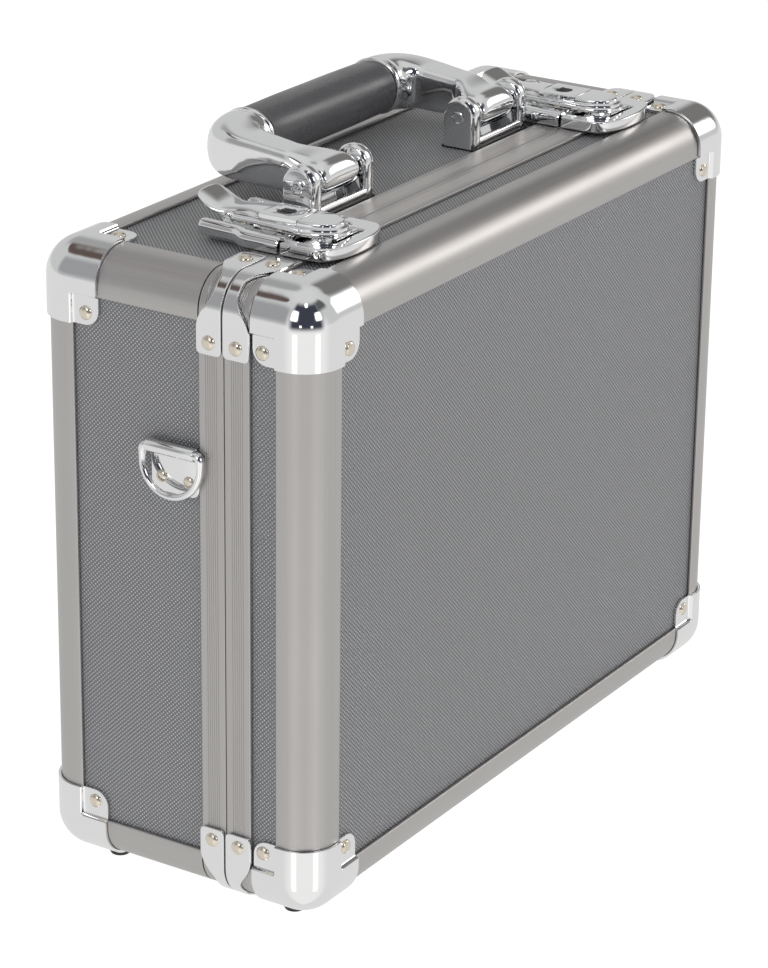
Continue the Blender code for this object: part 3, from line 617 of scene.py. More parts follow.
def ball_cap(reach_y):
    """The pressed cap of a case corner, drawn at the origin with the case towards +X, +Y and +Z."""
    bm = bmesh.new()
    reaches = (BALL_REACH, reach_y, BALL_REACH)
    for flat in range(3):
        first, second = [axis for axis in range(3) if axis != flat]
        lines_a, lines_b = ball_lines(reaches[first]), ball_lines(reaches[second])
        grid = []
        for a in lines_a:
            row = []
            for b in lines_b:
                pa, pb, height = ball_point(a, b, reaches[first], reaches[second])
                place = [0, 0, 0]
                place[first], place[second], place[flat] = pa, pb, height
                row.append(bm.verts.new(place))
            grid.append(row)
        skin(bm, grid)
    bmesh.ops.remove_doubles(bm, verts=bm.verts, dist=0.01 * MM)
    return facing_away(mesh_from(bm), Vector((20 * MM,) * 3))


def facing_away(mesh, point):
    """An open sheet's mesh, with its faces turned away from the point."""
    if sum(face.normal.dot(face.center - point) for face in mesh.polygons) < 0:
        mesh.flip_normals()
    return mesh


def ball_corners():
    for half, out in HALVES:
        y = BACK if out > 0 else FRONT
        reach_y = BALL_REACH if out > 0 else LID_BALL_REACH
        for name, x, z, sx, sz in case_corners():
            mesh = placed(ball_cap(reach_y), (x, y, z), (sx, -out, sz))
            node = f"{half}_ball_corner_{name}"
            thickened(piece(f"{node}_cap", mesh, CHROME, half, node, sharp=50), FITTING_WALL)
            pad = PAD_DROP - PROUD
            across = x + sx * RIVET_INSET
            upright = z + sz * UPRIGHT_RIVET_INSET
            heads = [rivet((x + sx * pad, y - out * (RIVET_INSET + 1 * MM), upright), (-sx, 0, 0)),
                     rivet((across, y - out * pad, upright), (0, out, 0))]
            if sz < 0:
                heads.append(rivet((across, y - out * RIVET_INSET, z + sz * pad), (0, 0, 1)))
            piece(f"{half}_ball_rivets_{name}", together(heads), NICKEL, half)


def bracket_sheet(near_y, far_y):
    """An angle bracket over a valance's corner, waisted where it bends. The case is towards +X and +Z."""
    half_arc = FITTING_RADIUS * math.pi / 4
    end = BALL_REACH - EDGE_RADIUS + half_arc
    end_radius = 2.5 * MM
    ends = [end - end_radius * (1 - math.sin(math.radians(90 * i / 6))) for i in range(7)]
    turn = [half_arc * i / 8 for i in range(9)]
    flat = [half_arc + (ends[0] - half_arc) * i / 6 for i in range(1, 6)]
    half_way = {round(s, 8) for s in turn + flat + ends}
    full, waist = far_y - near_y, 0.44 * (far_y - near_y)
    rings = []
    for s in sorted(half_way | {-s for s in half_way}):
        width = waist + (full - waist) * smooth_step(abs(s), 3 * MM, 20 * MM)
        short = max(abs(s) - (end - end_radius), 0)
        trim = end_radius - math.sqrt(max(end_radius ** 2 - short ** 2, 0))
        if abs(s) <= half_arc:
            angle = math.radians(225) + s / FITTING_RADIUS
            a, b = [EDGE_RADIUS + FITTING_RADIUS * part for part in (math.cos(angle), math.sin(angle))]
        else:
            along = EDGE_RADIUS + abs(s) - half_arc
            a, b = (along, -PROUD) if s > 0 else (-PROUD, along)
        low, high = near_y + trim, near_y + width - trim
        rings.append([(a, low + (high - low) * j / 8, b) for j in range(9)])
    return loft(rings)


def valance_brackets():
    for half, out in HALVES:
        near, far = sorted(abs(corner.y - SPLIT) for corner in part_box(f"{half}_valance_bracket_top_left"))
        for name, x, z, sx, sz in case_corners():
            mesh = placed(bracket_sheet(near, far), (x, SPLIT, z), (sx, out, sz))
            facing_away(mesh, Vector((x + sx * BALL_REACH, SPLIT, z + sz * BALL_REACH)))
            node = f"{half}_valance_bracket_{name}"
            thickened(piece(f"{node}_plate", mesh, CHROME, half, node, sharp=50), FITTING_WALL)
            y = SPLIT + out * (near + far) / 2
            heads = [rivet((x - sx * PROUD, y, z + sz * UPRIGHT_RIVET_INSET), (-sx, 0, 0)),
                     rivet((x + sx * RIVET_INSET, y, z - sz * PROUD), (0, 0, -sz))]
            piece(f"{half}_valance_rivets_{name}", together(heads), NICKEL, half)


def feet():
    for half, out in HALVES:
        for side, sign in SIDES:
            node = f"{half}_foot_{side}"
            low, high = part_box(node)
            radius, top = (high.x - low.x) / 2 / MM, high.z / MM
            profile = [(radius * 0.3, 0), (radius - 2.2, 0), (radius - 1.4, 0.3), (radius - 1, 1),
                       (radius - 0.3, top - 0.5), (radius - 0.4, top), (radius * 0.3, top)]
            centre = ((low.x + high.x) / 2, (low.y + high.y) / 2, 0)
            piece(f"{node}_pad", lathe(profile, centre, (0, 0, 1)), RUBBER, half, node)


# ---------------- handle

EAR_THICKNESS = 8 * MM
BOSS_RADIUS = 8.4 * MM
BOSS_HALF_WIDTH = 15 * MM
ARM_START = 18 * MM
BAIL_REACH = 55 * MM
BAIL_TILT = math.atan2(4.4, 55)
BAIL_HALF_WIDTH = 76 * MM
ELBOW_BEND = 17 * MM

BRACKET_LOW, BRACKET_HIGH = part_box("handle_bracket_right")
BRACKET_HALF = (BRACKET_HIGH - BRACKET_LOW) / 2
HANDLE_X, HANDLE_Y = (BRACKET_LOW + BRACKET_HALF).xy
HANDLE_Z = BRACKET_HIGH.z - BRACKET_HALF.y
GRIP_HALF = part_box("handle_grip")[1].x


def ear_ring(x, inset):
    """The D outline of a bracket's ear at one x, drawn in by inset."""
    radius = BRACKET_HALF.y - inset
    back, front = [(HANDLE_Y + side * radius, BRACKET_LOW.z) for side in (1, -1)]
    outline = [back, *arc((HANDLE_Y, HANDLE_Z), radius, 0, 180, 24), front]
    return [(x, y, z) for y, z in outline]


# (distance inwards from the ear's outer face, inset): the cheek, its bead, a groove and the shoulder.
EAR_PROFILE = [(0.0, 2.3), (0.0, 1.7), (0.15, 1.35), (0.5, 1.15), (0.9, 1.2), (1.15, 1.6), (1.45, 1.75),
               (1.75, 1.5), (2.0, 1.0), (2.5, 0.5), (3.2, 0.15), (4.2, 0.0), (5.8, 0.0), (6.8, 0.15),
               (7.4, 0.5), (7.8, 1.0), (8.0, 1.6)]


def handle_bracket(x):
    """Two ears with a pin between them, on a floor with a raised lip along its front and back."""
    parts = []
    boss = [(3.4, 0), (3.4, 0.25), (3.0, 0.45), (2.2, 0.45), (1.9, 0.2), (1.0, 0.2)]
    for side in (-1, 1):
        rings = [ear_ring(x + side * (BRACKET_HALF.x - depth * MM), inset * MM)
                 for depth, inset in EAR_PROFILE]
        parts.append(loft(rings, closed=True, caps=True))
        parts.append(lathe(boss, (x + side * BRACKET_HALF.x, HANDLE_Y, HANDLE_Z - 1 * MM), (side, 0, 0), 24))
    inner = BRACKET_HALF.x - EAR_THICKNESS + 1 * MM
    # (distance in from the back, height above the foot, radius) of the lip, in millimetres.
    lip = [(0.2, 0, 0.2), (0.2, 5.2, 1.2), (2.6, 5.2, 0.9), (3.4, 3.2, 0.6)]
    back = [(BRACKET_HIGH.y - a * MM, BRACKET_LOW.z + b * MM, r * MM) for a, b, r in lip]
    front = [(2 * HANDLE_Y - y, z, radius) for y, z, radius in reversed(back)]
    parts.append(prism([rounded(back + front)], "X", x - inner, x + inner))
    pin = rod_profile(2.5, 2 * inner / MM, 0.3)
    parts.append(lathe(pin, (x - inner, HANDLE_Y, HANDLE_Z), (1, 0, 0), 24))
    return together(parts)


def handle_foot_shade(x):
    """A thin black strip round the foot of a bracket: a dark sheet that paints the shade line where the
    bracket meets the panel.
    """
    half_x, half_y = BRACKET_HALF.x + 0.1 * MM, BRACKET_HALF.y + 0.25 * MM
    signs = ((-1, -1), (1, -1), (1, 1), (-1, 1))
    corners = [(x + a * half_x, HANDLE_Y + b * half_y, 1 * MM) for a, b in signs]
    return prism([rounded(corners)], "Z", BRACKET_LOW.z - 0.2 * MM, BRACKET_LOW.z + 0.6 * MM)


def bail_ring(place, heading, half_width, half_height, squareness):
    """A rounded-rectangle section of the bail. place is (x, reach), and heading its angle from +X."""
    across = (math.sin(heading), -math.cos(heading))
    ring = []
    for angle in turns(40):
        u = signed_power(math.cos(angle), 2 / squareness) * half_width
        v = signed_power(math.sin(angle), 2 / squareness) * half_height
        x, reach = place[0] + across[0] * u, place[1] + across[1] * u
        ring.append((x, HANDLE_Y + reach * math.cos(BAIL_TILT) - v * math.sin(BAIL_TILT),
                     HANDLE_Z + reach * math.sin(BAIL_TILT) + v * math.cos(BAIL_TILT)))
    return ring


def bail_side():
    """Half of the bail: the nose round the pivot, the arm, the elbow and the two steps of its collar."""
    rings = []
    for i in range(9):
        angle = math.radians(86 - 86 * i / 8)
        width = BOSS_HALF_WIDTH - 2.6 * MM * (1 - math.cos(angle)) ** 2
        place = (HANDLE_X, -BOSS_RADIUS * math.sin(angle))
        rings.append(bail_ring(place, math.pi / 2, width, BOSS_RADIUS * math.cos(angle) + 0.1 * MM, 3.4))
    for i in range(1, 13):
        reach = ARM_START * i / 12
        t = smooth_step(reach, 2 * MM, 17 * MM)
        place = (HANDLE_X + (BAIL_HALF_WIDTH - HANDLE_X) * t, reach)
        width = BOSS_HALF_WIDTH + (9.4 * MM - BOSS_HALF_WIDTH) * t
        height = BOSS_RADIUS + (10 * MM - BOSS_RADIUS) * t
        rings.append(bail_ring(place, math.pi / 2, width, height, 3.4 + 2 * t))
    bend_start = BAIL_REACH - ELBOW_BEND
    for i in range(1, 5):
        place = (BAIL_HALF_WIDTH, ARM_START + (bend_start - ARM_START) * i / 5)
        rings.append(bail_ring(place, math.pi / 2, (9.4 + 0.25 * i) * MM, (10 + 0.2 * i) * MM, 5.4))
    for i in range(15):
        turn = math.pi / 2 * i / 14
        t = smooth_step(i, -2, 11)
        centre = BAIL_HALF_WIDTH - ELBOW_BEND
        place = (centre + ELBOW_BEND * math.cos(turn), bend_start + ELBOW_BEND * math.sin(turn))
        size = 10.4 * MM + 3.6 * MM * t
        rings.append(bail_ring(place, math.pi / 2 + turn, size, 10.8 * MM + 2.8 * MM * t, 5.4 - 3.1 * t))
    # (distance from the grip's end, half size): two rounded steps.
    for along, size in [(5.6, 14.2), (4.2, 14.5), (3.6, 14.5), (3.3, 14.1), (3.0, 14.1), (2.7, 14.6),
                        (2.3, 14.8), (1.2, 14.8), (0.7, 14.6), (0.4, 14.2), (0.3, 13.2)]:
        place = (GRIP_HALF + along * MM, BAIL_REACH)
        rings.append(bail_ring(place, math.pi, size * MM, (size - 0.85) * MM, 2.2))
    return loft(rings, closed=True, caps=True)


def grip():
    """The soft sleeve, a little fuller in the middle, with rounded ends."""
    rings = []
    stations = [(0.0, 12.6), (0.15, 13.2), (0.7, 13.8), (1.6, 14.0), (12, 14.1), (30, 14.3)]
    near = [(-GRIP_HALF + along * MM, size) for along, size in stations]
    for x, size in near + [(-x, size) for x, size in reversed(near)]:
        rings.append(bail_ring((x, BAIL_REACH), 0, size * MM, (size - 1) * MM, 2.25))
    return loft(rings, closed=True, caps=True)


def handle():
    for side, sign in SIDES:
        node = f"handle_bracket_{side}"
        piece(f"{node}_casting", handle_bracket(sign * HANDLE_X), CHROME, "body", node)
        # The black strip under each bracket is painted shade at its foot, not a part of the case.
        piece(f"{node}_foot_shade", handle_foot_shade(sign * HANDLE_X), RUBBER, "body")
    bail = together([bail_side(), placed(bail_side(), signs=(-1, 1, 1))])
    piece("handle_bail_casting", bail, CHROME, "handle", "handle_bail", sharp=50)
    piece("handle_grip_sleeve", grip(), GRIP, "handle", "handle_grip", sharp=50)


# ---------------- latches
# Heights are above the top face, and depths are behind the lid's front face.

LATCH_X = sum(corner.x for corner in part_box("latch_base_right")) / 2
LATCH_HALF = 25 * MM
LEVER_HALF = 9.25 * MM
PLUG_RADIUS = 4.4


def latch_y(depth_mm):
    return FRONT + depth_mm * MM


def latch_z(height_mm):
    return TOP + height_mm * MM


PIVOT_Y, PIVOT_Z = latch_y(51.5), latch_z(4.2)
HOOK_Y, HOOK_Z = latch_y(84), latch_z(7.5)
PLUG_Y = latch_y(60.2)


def side_outline(points):
    """A rounded outline from (depth, height, radius) in millimetres."""
    return rounded([(latch_y(a), latch_z(b), r * MM) for a, b, r in points])


def latch_box(half, near, far, low, high, x=0):
    """A box from its half width, depths and heights in millimetres."""
    return box((x - half * MM, latch_y(near), latch_z(low)), (x + half * MM, latch_y(far), latch_z(high)))


def rail_section(half, rail, base, top):
    """The rounded (x, z) outline of a floor between two tall round rails, from sizes in millimetres."""
    inner = half - rail
    rise = [(half, base, 0.8), (half, top, 2.9), (inner - 0.6, top, 2.4), (inner - 1.2, 2.8, 0.6),
            (12.8, 2.8, 0.3), (12.4, 1.8, 0.2)]
    corners = rise + [(-a, b, r) for a, b, r in reversed(rise)]
    return rounded([(a * MM, latch_z(b), r * MM) for a, b, r in corners])


# (depth, half width, rail width, underside, top) along the latch's base, in millimetres.
BASE_STATIONS = [(48.6, 24.6, 6.4, 0.7, 6.5), (49.1, 25, 6.6, 0.3, 6.9), (66, 25, 6.6, 0.3, 7.0),
                 (68.5, 24.8, 6.5, 0.3, 7.1), (70.5, 24.1, 6.2, 0.6, 7.3), (72.5, 23.1, 5.8, 0.9, 7.5),
                 (74.5, 22.5, 5.5, 1.1, 7.6), (77, 22.4, 5.4, 1.2, 7.7), (91, 22.4, 5.4, 1.2, 8.0),
                 (92.4, 22.2, 5.2, 1.2, 7.8), (93, 21.7, 4.6, 1.3, 7.2)]


def latch_base(x):
    """A floor between two round rails, wider where it straddles the valance, with the lever's cheeks."""
    rings = []
    for depth, *sizes in BASE_STATIONS:
        y = latch_y(depth) + 0.3 * MM
        rings.append([(x + a, y, b) for a, b in rail_section(*sizes)])
    skirt_low = Vector((x - 17 * MM, SPLIT + VALANCE_WIDTH + 0.4 * MM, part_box("latch_base_right")[0].z))
    changes = [("UNION", box(skirt_low, (x + 17 * MM, latch_y(91), latch_z(2.2))))]
    cheek = side_outline([(48.9, 1, 0.2), (56, 1, 0.2), (53.5, 5.6, 1.2), (49.9, 5.6, 1.2)])
    for side in (-1, 1):
        changes.append(("UNION", prism([cheek], "X", x + side * 9.8 * MM, x + side * 11.6 * MM)))
    return joined(loft(rings, closed=True, caps=True), *changes)


def latch_keeper(x):
    """The half-round plate on the lid, with a pocket under the nose and a recess at each side for a rivet."""
    half, rear, front = LATCH_HALF, SPLIT - 0.6 * MM, latch_y(19.5)
    shoulder = latch_y(34)
    outline = [(x + half, rear), (x + half, shoulder)]
    turn = [math.radians(180 * i / 40) for i in range(1, 40)]
    outline += [(x + half * math.cos(a), shoulder - (shoulder - front) * math.sin(a) ** 0.6) for a in turn]
    outline += [(x - half, shoulder), (x - half, rear)]
    plate = prism([outline], "Z", latch_z(0.3), latch_z(6))
    changes = [("DIFFERENCE", latch_box(12.6, 26.8, 60, 1.3, 12, x))]
    for side in (-1, 1):
        corners = ((12, 60, 0), (18.2, 60, 0), (18.2, 36, 3), (12, 36, 0))
        recess = rounded([(x + side * a * MM, latch_y(depth), r * MM) for a, depth, r in corners])
        changes.append(("DIFFERENCE", prism([recess], "Z", latch_z(3), latch_z(12))))
    return joined(plate, *changes, ("UNION", latch_box(9, 31.2, 33.6, 0.8, 4.2, x)))


def lever_section(depth, half, top, bottom, droop):
    """A section of the lever's neck or thumb tab, in millimetres, crowned so that its edges lie lower."""
    ring = []
    for angle in turns(32):
        u = signed_power(math.cos(angle), 0.55)
        v = signed_power(math.sin(angle), 0.75)
        height = (top + bottom) / 2 + v * (top - bottom) / 2 - droop * u * u
        ring.append((half * u * MM, latch_y(depth), latch_z(height)))
    return ring


# (depth, half width, top, bottom, droop of the edges) along the neck and the thumb tab.
LEVER_TAB = [(69.6, 9.0, 11.7, 6.2, 0.0), (69.9, 9.25, 12.0, 6.0, 0.0), (71.5, 9.1, 12.0, 6.0, 0.05),
             (73.5, 8.6, 12.0, 5.9, 0.15), (76, 8.0, 12.0, 5.8, 0.3), (79, 7.7, 11.9, 5.8, 0.4),
             (82, 7.8, 11.7, 5.8, 0.5), (85, 8.3, 11.4, 6.0, 0.6), (88, 9.1, 11.2, 6.6, 0.7),
             (91, 10.0, 11.4, 7.4, 0.8), (94, 10.6, 12.1, 8.6, 0.9), (97, 10.7, 13.2, 10.4, 0.9),
             (99.5, 10.4, 14.3, 12.2, 0.8), (101.5, 9.7, 15.2, 13.6, 0.6), (102.8, 8.6, 15.8, 14.6, 0.4),
             (103.4, 6.8, 16.0, 15.1, 0.2), (103.7, 4.5, 16.0, 15.4, 0.1)]


def latch_lever(x):
    """The key plate, the neck and thumb tab behind it, the pivot barrel and the hook's pin."""
    profile = side_outline([(48.9, 12, 0.35), (48.9, 9.5, 0.5), (49.8, 2.4, 1.4), (53.4, 2.4, 1.2),
                            (55, 3.2, 0.5), (66, 3.2, 0.8), (69.2, 6, 0.8), (69.2, 12, 0.35)])
    block = prism([profile], "X", -LEVER_HALF, LEVER_HALF)
    bore_radius = PLUG_RADIUS + 0.1
    bore = lathe([(bore_radius, 0), (bore_radius, 14)], (0, PLUG_Y, TOP), (0, 0, 1), 40)
    index = latch_box(0.6, 60.2, 67.4, 10.8, 13)
    plate = with_round_edges(joined(block, ("DIFFERENCE", bore), ("DIFFERENCE", index)), 0.3 * MM)
    tab = loft([lever_section(*row) for row in LEVER_TAB], closed=True, caps=True)
    web = latch_box(7, 68, 71, 6.8, 10.4)
    pins = [lathe([(1.1, -12.4), (1.1, 12.4)], (0, y, z), (1, 0, 0), 16)
            for y, z in ((HOOK_Y, HOOK_Z), (PIVOT_Y, PIVOT_Z))]
    return placed(together([plate, tab, web, *pins]), (x, 0, 0))


def nose_ring(inset, height):
    """The half-round outline of the nose in millimetres, drawn in by inset."""
    half, front, rear = 13 - inset, 27.4 + inset, 48.2
    ring = []
    for i in range(37):
        angle = math.radians(180 * i / 36)
        depth = rear - (rear - front) * math.sin(angle) ** 0.8
        ring.append((half * math.cos(angle) * MM, latch_y(depth), latch_z(height)))
    return ring


# (inset, height) up the nose: three rounded steps.
NOSE_STEPS = [(0.5, 6.3), (0.15, 6.45), (0, 6.8), (0, 7.6), (0.2, 8), (0.6, 8.2), (1.25, 8.25), (1.45, 8.4),
              (1.5, 9.1), (1.65, 9.6), (2, 9.85), (2.75, 9.95), (3, 10.15), (3.05, 11), (3.2, 11.5),
              (3.6, 11.85), (4.3, 12)]


def latch_hook(x):
    """The stepped nose, its lip and the rails that tie it to the lever's pin."""
    parts = [loft([nose_ring(*step) for step in NOSE_STEPS], closed=True, caps=True)]
    parts.append(latch_box(8.5, 28, 30.6, 2.6, 7))
    rail = side_outline([(46, 6.0, 0.4), (81, 6.0, 0.8), (82, 5.0, 2.0), (87, 5.0, 2.3), (87, 10.8, 2.3),
                         (82, 10.8, 2.0), (80.5, 9.4, 0.8), (46, 9.4, 0.4)])
    step = side_outline([(46, 7.3, 0.2), (79.5, 7.3, 0.4), (79.5, 8.6, 0.4), (46, 8.6, 0.2)])
    washer = [(1.2, -0.3), (1.2, 0.25), (1.5, 0.6), (2, 0.7), (2.3, 0.5), (2.4, 0), (2.4, -0.3)]
    for side in (-1, 1):
        for outline, near, far, radius in ((rail, 9.75, 11.9, 0.3), (step, 11.5, 12.5, 0.25)):
            bar = prism([outline], "X", side * near * MM, side * far * MM)
            parts.append(with_round_edges(bar, radius * MM))
        parts.append(lathe(washer, (side * 11.9 * MM, latch_y(84.4), latch_z(8)), (side, 0, 0), 24))
    return placed(together(parts), (x, 0, 0))


def key_plug(x):
    """The dark turning core of the lock, sunk below the key plate, with its slot."""
    radius = PLUG_RADIUS
    profile = [(radius - 0.3, -7), (radius, -6.7), (radius, -0.3), (radius - 0.5, 0), (radius - 1.1, 0),
               (radius - 1.3, -0.3), (radius * 0.3, -0.3)]
    core = lathe(profile, (x, PLUG_Y, latch_z(11.7)), (0, 0, 1), 40)
    return joined(core, ("DIFFERENCE", latch_box(0.6, 57.6, 62.8, 8, 14, x)))


def latches():
    for side, sign in SIDES:
        x = sign * LATCH_X
        base, keeper, lever, hook, plug = [f"{name}_{side}" for name in (
            "latch_base", "latch_keeper", "latch_lever", "latch_hook", "key_plug")]
        piece(f"{base}_casting", latch_base(x), CHROME, "body", base)
        softened(piece(f"{keeper}_casting", latch_keeper(x), CHROME, "lid", keeper), 1.1 * MM, 4)
        piece(f"{lever}_casting", latch_lever(x), CHROME, lever, lever)
        piece(f"{hook}_casting", latch_hook(x), CHROME, hook, hook)
        piece(f"{plug}_core", key_plug(x), PLUG, plug, plug)
        for body, depth in (("body", 59.5), ("body", 79), ("lid", 41)):
            places = [(x + a * 15.2 * MM, latch_y(depth), latch_z(2.8)) for a in (-1, 1)]
            heads = [rivet(place, (0, 0, 1), 2.6, 1.2) for place in places]
            piece(f"latch_rivets_{side}_{body}_{depth:.0f}", together(heads), NICKEL, body)


# ---------------- strap rings

RING_WIRE = 1.6 * MM
RING_HALF = 15.7 * MM
RING_DROP = 22 * MM
RING_HANG = math.radians(3.5)


def ring_axis(side):
    low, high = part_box(f"strap_loop_{side}")
    radius = 3.1 * MM
    x = high.x - radius if side == "right" else low.x + radius
    return Vector((x, (low.y + high.y) / 2, high.z - radius))


def strap_loop(side, sign):
    """A riveted plate with rounded lower corners, folded over into a tube at its top."""
    low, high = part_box(f"strap_loop_{side}")
    axis = ring_axis(side)
    wall = low.x if sign > 0 else high.x
    width = (high.y - low.y) / 2
    y = axis.y
    top = axis.z - 0.5 * MM
    plate = rounded([(y - width, low.z, 4.5 * MM), (y + width, low.z, 4.5 * MM), (y + width, top, 0),
                     (y - width, top, 0)])
    outer = [(axis.x + sign * a, axis.z + b) for a, b in arc((0, 0), 3.1 * MM, -160, 150, 26)]
    inner = [(axis.x + sign * a, axis.z + b) for a, b in arc((0, 0), 1.95 * MM, 150, -160, 26)]
    fold = with_round_edges(prism([outer + inner], "Y", low.y, high.y), 0.25 * MM)
    back = with_round_edges(prism([plate], "X", wall, wall + sign * 1.3 * MM), 0.3 * MM)
    return together([fold, back])


def strap_ring(side, sign):
    """A D of round wire with full, round upper corners, hanging a little away from the plate."""
    axis = ring_axis(side)
    bend = 3 * MM
    corner = arc((RING_HALF - bend, -bend), bend, 90, 0, 6)
    bow = arc((0, -RING_DROP + RING_HALF), RING_HALF, 0, -180, 36)
    loop = [(0, 0)] + corner + bow + [(-a, b) for a, b in reversed(corner)]
    rings = []
    for i, (a, b) in enumerate(loop):
        before, after = Vector(loop[i - 1]), Vector(loop[(i + 1) % len(loop)])
        along = (after - before).normalized()
        side_way = Vector((along.y, -along.x))
        full = max(0, 1 - abs(math.hypot(abs(a) - RING_HALF + 1 * MM, b + 1 * MM)) / (4 * MM))
        radius = RING_WIRE * (1 + 0.35 * smooth_step(full, 0, 0.8))
        ring = []
        for angle in turns(16):
            out, flat = radius * math.sin(angle), radius * math.cos(angle)
            y, z = a + side_way.x * flat, b + side_way.y * flat
            ring.append((axis.x + sign * (out * math.cos(RING_HANG) - z * math.sin(RING_HANG)), axis.y + y,
                         axis.z + z * math.cos(RING_HANG) + out * math.sin(RING_HANG)))
        rings.append(ring)
    return loft(rings, closed=True, looped=True)


def strap_rings():
    for side, sign in SIDES:
        loop = f"strap_loop_{side}"
        piece(f"{loop}_plate", strap_loop(side, sign), CHROME, "body", loop)
        ring = f"strap_ring_{side}"
        piece(f"{ring}_wire", strap_ring(side, sign), CHROME, ring, ring)
        low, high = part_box(loop)
        wall = (low.x if sign > 0 else high.x) + sign * 1.3 * MM
        y, z = ring_axis(side).y, low.z + 7 * MM
        heads = [rivet((wall, y + a * 7.4 * MM, z), (sign, 0, 0), 2.9, 1.3) for a in (-1, 1)]
        piece(f"strap_rivets_{side}", together(heads), NICKEL, "body")


# ---------------- hinge

def hinge():
    """A piano hinge under the parting line, with knuckles that alternate between its leaves."""
    low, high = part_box("hinge_pin")
    pin_y, pin_z = (low.y + high.y) / 2, (low.z + high.z) / 2
    count = 20
    pitch = (high.x - low.x) / count
    gap = 0.2 * MM
    for half, out, own in (("body", 1, 0), ("lid", -1, 1)):
        leaf_low, leaf_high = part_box(f"hinge_leaf_{half}")
        far = leaf_high.y if out > 0 else leaf_low.y
        top = leaf_high.z
        strip = box((low.x, pin_y + out * 2.2 * MM, top - 1 * MM), (high.x, far, top))
        parts = [with_round_edges(strip, 0.2 * MM)]
        for i in range(own, count, 2):
            start = low.x + i * pitch + gap
            length = pitch - 2 * gap
            barrel = [(1, 0), *rod_profile(1.9, length / MM, 0.2), (1, length / MM)]
            parts.append(lathe(barrel, (start, pin_y, pin_z), (1, 0, 0), 20))
            parts.append(box((start, pin_y + out * 0.3 * MM, top - 1 * MM),
                             (start + length, pin_y + out * 2.4 * MM, top)))
        for i in range(6):
            x = low.x + (high.x - low.x) * (i + 0.5) / 6
            parts.append(rivet((x, pin_y + out * 8 * MM, top - 1 * MM), (0, 0, -1), 2.2, 0.8))
        piece(f"hinge_leaf_{half}_strip", together(parts), STEEL, half, f"hinge_leaf_{half}")
    rod = lathe(rod_profile(0.8, (high.x - low.x) / MM, 0.3), (low.x, pin_y, pin_z), (1, 0, 0), 16)
    piece("hinge_pin_rod", rod, STEEL, "body", "hinge_pin")


# ---------------- inside

LINING_DEPTH = PANEL_INSET + BOARD + 0.25 * MM


def lined_walls(near_y, far_y):
    """The felt on the inside of a half's board: four walls and the floor at far_y."""
    depth = LINING_DEPTH
    outline = rounded([(LEFT + depth, BOTTOM + depth, 2 * MM), (RIGHT - depth, BOTTOM + depth, 2 * MM),
                       (RIGHT - depth, TOP - depth, 2 * MM), (LEFT + depth, TOP - depth, 2 * MM)])
    bm = bmesh.new()
    rings = [[bm.verts.new((x, y, z)) for x, z in outline] for y in (near_y, far_y)]
    skin(bm, rings, closed=True)
    bm.faces.new(rings[1])
    return mesh_from(bm)


def linings():
    for half, near, far in (("body", SPLIT + 1.6 * MM, BACK - LINING_DEPTH),
                            ("lid", SPLIT - 1.6 * MM, FRONT + LINING_DEPTH)):
        made = piece(f"{half}_felt", lined_walls(near, far), LINING, half)
        wall = made.modifiers.new("felt", "SOLIDIFY")
        wall.thickness = 0.2 * MM
        wall.offset = 0


def egg_crate():
    """Convoluted foam: a flat back and a front of rounded peaks and hollows."""
    low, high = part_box("lid_lining")
    pitch = 24 * MM
    cells_x = round((high.x - low.x) / (pitch / 10))
    cells_z = round((high.z - low.z) / (pitch / 10))
    thick = high.y - low.y
    rows = []
    for i in range(cells_x + 1):
        x = low.x + (high.x - low.x) * i / cells_x
        row = []
        for j in range(cells_z + 1):
            z = low.z + (high.z - low.z) * j / cells_z
            wave = math.cos(2 * math.pi * x / pitch) * math.cos(2 * math.pi * (z - low.z) / pitch)
            edge = min(x - low.x, high.x - x, z - low.z, high.z - z)
            soft = 1 - 0.18 * (1 - smooth_step(edge, 0, 5 * MM))
            row.append((x, low.y + thick * (0.62 + 0.38 * wave) * soft, z))
        rows.append(row)
    bm = bmesh.new()
    front = [[bm.verts.new(point) for point in row] for row in rows]
    skin(bm, front)
    border = front[0] + [row[-1] for row in front[1:]]
    border += front[-1][-2::-1] + [row[0] for row in front[-2:0:-1]]
    back = [bm.verts.new((v.co.x, low.y, v.co.z)) for v in border]
    skin(bm, [border, back], closed=True)
    bm.faces.new(back)
    return mesh_from(bm)


def inside():
    linings()
    crate = piece("lid_foam", egg_crate(), FOAM, "lid", "lid_lining", sharp=60)
    for node in ("chip_tray_lower", "chip_tray_upper"):
        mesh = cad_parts[node].data
        mesh.materials.clear()
        mesh.materials.append(TRAY)


# ---------------- camera, light and floor

def camera():
    azimuth, elevation, roll = math.radians(-57.60), math.radians(21.71), math.radians(0.682)
    back = Vector((math.sin(azimuth) * math.cos(elevation), -math.cos(azimuth) * math.cos(elevation),
                   math.sin(elevation)))
    level = Vector((0, 0, 1)).cross(back).normalized()
    upright = back.cross(level)
    right = math.cos(roll) * level + math.sin(roll) * upright
    up = -math.sin(roll) * level + math.cos(roll) * upright
    data = bpy.data.cameras.new("camera")
    data.sensor_width = 36
    data.lens = 132.07
    data.clip_end = 20
    made = bpy.data.objects.new("camera", data)
    matrix = Matrix((right, up, back)).transposed().to_4x4()
    matrix.translation = (-1.3764, -0.8635, 0.7895)
    made.matrix_world = matrix
    bpy.context.scene.collection.objects.link(made)
    bpy.context.scene.camera = made


